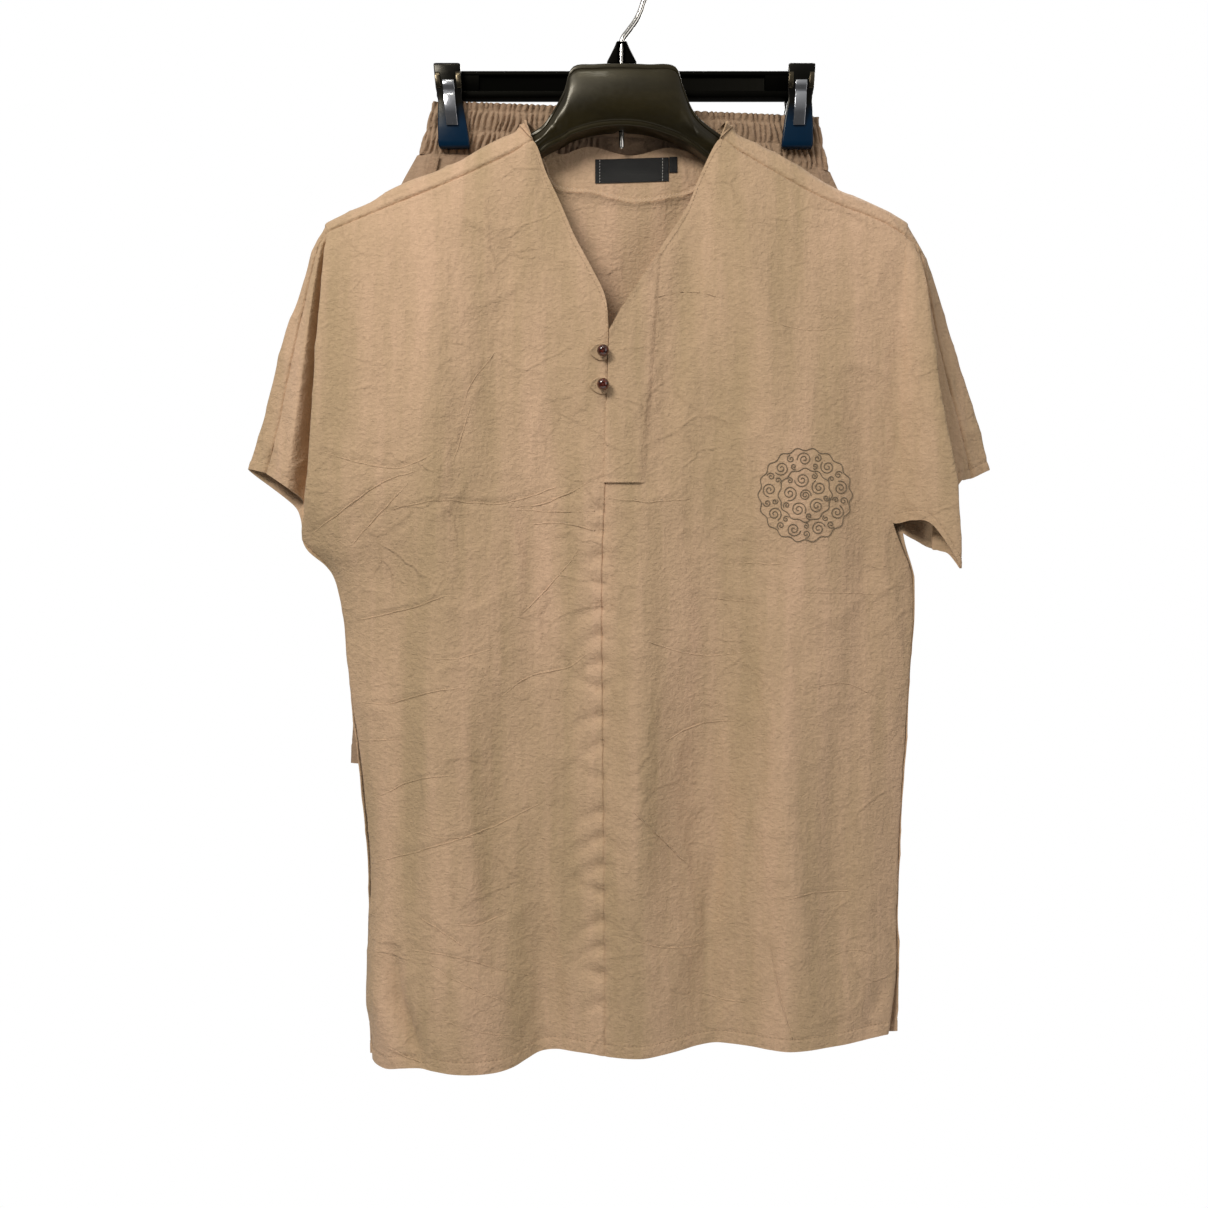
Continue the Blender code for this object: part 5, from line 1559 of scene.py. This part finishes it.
def labels(band_item):
    """Woven labels on the side of the neckband that faces the viewer, left bare."""
    tree = find_surface([band_item])
    for name, x0, x1, z0, z1, tilt, across in LABELS:
        rows = []
        for t in np.linspace(0, 1, 9):
            row = []
            for s in np.linspace(0, 1, across):
                x = x0 + (x1 - x0) * s
                z = z0 + (z1 - z0) * t + tilt * (x - x0)
                spot = tree.ray_cast(Vector((x, -100.0, z)), BACKWARD)[0]
                row.append(np.array([x, spot.y - 0.55, z]))
            rows.append(row)
        grid = np.array(rows)
        ys = grid[..., 1]
        for _ in range(8):
            ys[:, 1:-1] = (ys[:, :-2] + ys[:, 2:] + 2 * ys[:, 1:-1]) / 4
            ys[1:-1] = (ys[:-2] + ys[2:] + 2 * ys[1:-1]) / 4
        rows = [list(row) for row in grid]
        normals = share_normals([(rows, True)])
        panel = Panel(rows, normals, places(8, 2, (), ()), places(across - 1, 2, (), ()))
        panel.thick[:] = 0.5
        item = finished(shell(name + "_tape", panel, True), TAPE, (name,), 60)
        if name == "neck_label":
            outer = panel.outer() + panel.n * 0.1
            ends = [list(outer[1:-1, 3]), list(outer[1:-1, -5])]
    sew("label_stitches", ends, 2.2, 1.7, 0.42, WHITE, "label_black")


def coil(reach, at, r0, r1, start, turns, hand, n=40):
    """A scroll whose middle lies at a reach and angle from the middle of the roundel."""
    t = np.linspace(0, 1, n)
    angle = start + hand * 2 * math.pi * turns * t
    r = r0 + (r1 - r0) * t
    return np.stack([reach * math.cos(at) + r * np.cos(angle), reach * math.sin(at) + r * np.sin(angle)], 1)


def motif_lines():
    """Rings and coiled scrolls, a plain roundel of its own layout."""
    turn = np.linspace(0, 2 * math.pi, 240)
    lines = []
    for r, wave, count in ((36.0, 1.1, 18), (20.4, 0.8, 12)):
        ring = r + wave * np.cos(count * turn)
        lines.append(np.stack([ring * np.cos(turn), ring * np.sin(turn)], 1))
    for k in range(9):
        a = 2 * math.pi * k / 9 + 0.2
        b = a + math.pi / 9
        hand = 1 if k % 2 else -1
        lines.append(coil(28.2, a, 5.6, 0.9, a + math.pi / 2, 1.75, hand))
        lines.append(coil(30.5, b, 3.1, 0.7, b, 1.2, -hand, 24))
        lines.append(coil(24.2, b, 2.4, 0.6, b + math.pi, 1.1, hand, 20))
    for k in range(5):
        a = 2 * math.pi * k / 5 + 0.5
        b = a + math.pi / 5
        lines.append(coil(12.4, a, 6.0, 0.9, a + math.pi / 2, 1.8, 1, 50))
        lines.append(coil(16.6, b, 2.6, 0.6, b, 1.2, -1, 20))
    lines.append(coil(0, 0, 4.6, 0.8, 0.0, 2.0, 1, 50))
    return lines


def motif(tree):
    middle = px(*MOTIF_PX)
    paths = []
    for line in motif_lines():
        path = [onto(tree, middle + p, 0.18) for p in line]
        paths.append([p for p in path if p is not None])
    sew("round_motif", paths, 0.85, 1.7, 0.95, MOTIF, "shirt_cloth")


def shirt_sewing(panels, placket_panel):
    """Rows of stitches: hems, sleeve ends, neck edge, placket foot and the overlock along the neck seam."""
    paths = []
    for name in ("front_left", "front_right", "back"):
        panel = panels[name]
        cols, rows = panel.at_cols[None, :], panel.at_rows[:, None]
        if name == "back":
            sleeve = (cols < SLEEVE_COLS) | (cols > panel.at_cols[-1] - SLEEVE_COLS)
        else:
            sleeve = cols > ARM_COL
        sleeve = np.broadcast_to(sleeve, panel.there.shape)
        top, bottom, _, _ = panel.edges()
        paths += line_at(panel, bottom, HEM_DEPTH, ~sleeve & (rows > ROWS - 2))
        paths += line_at(panel, bottom, SLEEVE_HEM, sleeve & (rows > ARM_ROW - 2))
        if name != "back":
            paths += line_at(panel, top, 6.5, (cols < NECK_COLS + 0.01) & (rows < 3) & ~sleeve)
    foot = placket_panel.p + placket_panel.n * (placket_panel.height[..., None] + 0.15)
    row = int(np.argmin(np.abs(placket_panel.edges()[1][:, 10] - 3.0)))
    paths.append(list(foot[row, 1:-1]))
    sew("shirt_stitches", paths, *HEM_STITCH, THREAD, "shirt_cloth")
    band = panels["neckband"]
    inner = band.outer() - band.n * (band.thick[..., None] + 0.1)
    up = band.edges()[1]
    path = []
    for i in range(band.there.shape[1]):
        order = np.argsort(up[:, i])
        for inset in (0.8, 4.2):
            path.append(np.array([np.interp(inset, up[order, i], inner[order, i, k]) for k in range(3)]))
    sew("neck_overlock", [path], 1.3, 1.6, 0.55, PALE, "shirt_cloth")


# Camera, light and stage

def camera():
    bpy.context.scene.view_settings.view_transform = "Standard"
    data = bpy.data.cameras.new("view")
    data.sensor_width = 36.0
    data.lens = 36.0 * FOCAL_PX / PHOTO_SIDE
    data.dof.use_dof = False
    item = bpy.data.objects.new("view", data)
    item.location = EYE * MM
    item.rotation_euler = (math.radians(90), 0, 0)
    bpy.context.scene.collection.objects.link(item)
    bpy.context.scene.camera = item


def light(name, place, aim, size, watts, colour):
    data = bpy.data.lights.new(name, "AREA")
    data.shape = "RECTANGLE"
    data.size, data.size_y = size
    data.energy = watts
    data.color = colour
    item = bpy.data.objects.new(name, data)
    item.location = place
    item.rotation_euler = (Vector(aim) - Vector(place)).to_track_quat("-Z", "Y").to_euler()
    bpy.context.scene.collection.objects.link(item)


def studio():
    light("key", (-0.95, -1.35, 0.8), (0, 0, -0.55), (0.7, 0.5), 29, (1.0, 0.965, 0.91))
    light("gleam", (-0.24, -1.12, 1.29), (0, 0, -0.1), (0.3, 0.12), 3, (1.0, 0.95, 0.8))
    light("fill", (1.7, -1.5, -0.1), (0, 0, -0.5), (1.0, 1.6), 9, (1.0, 0.97, 0.94))
    light("rim", (0.6, 1.7, 0.8), (0, 0, -0.5), (1.4, 1.2), 36, (1.0, 0.98, 0.95))
    world = bpy.data.worlds.new("studio")
    bpy.context.scene.world = world
    world.use_nodes = True
    tree = world.node_tree
    tree.nodes.clear()
    way = node(tree, "ShaderNodeTexCoord")
    height = node(tree, "ShaderNodeSeparateXYZ", {0: way.outputs["Generated"]}).outputs[2]
    sky = banded(tree, ranged(tree, height, -1.0, 1.0), (0.5, (0.2, 0.195, 0.19, 1)),
                 (0.85, (1.0, 0.98, 0.95, 1)))
    lit = node(tree, "ShaderNodeBackground", {"Color": sky, "Strength": 0.45})
    plain = node(tree, "ShaderNodeBackground", {"Color": grey(1.0), "Strength": 1.0})
    path = node(tree, "ShaderNodeLightPath")
    mix = node(tree, "ShaderNodeMixShader", {0: path.outputs["Is Camera Ray"], 1: lit.outputs[0],
                                             2: plain.outputs[0]})
    node(tree, "ShaderNodeOutputWorld", {"Surface": mix.outputs[0]})


def floor():
    """Plain pale round floor far below the hem."""
    rings = [[np.array([FLOOR_R * math.cos(t), FLOOR_R * math.sin(t), z]) for t in circle(96)]
             for z in FLOOR_Z]
    item = tube_loft("floor", rings)
    item.data.materials.append(finish_named("floor_pale", (232, 231, 228), 0.9)[0])


camera()
studio()
floor()
panels, cloths = make_shirt()
fronts = find_surface([cloths["front_left"], cloths["front_right"]])
pressed_ridges(fronts, {name: cloths[name] for name in ("front_left", "front_right")})
placket_panel = placket(fronts)
shirt_sewing(panels, placket_panel)
beads(fronts)
labels(cloths["neckband"])
motif(fronts)
waistband()
pocket_paths = pockets(shorts())
sew("shorts_stitches", pocket_paths, *HEM_STITCH, THREAD, "shorts_cloth")
hanger_ribs(shirt_hanger())
hook()
clip_hanger()
clips()
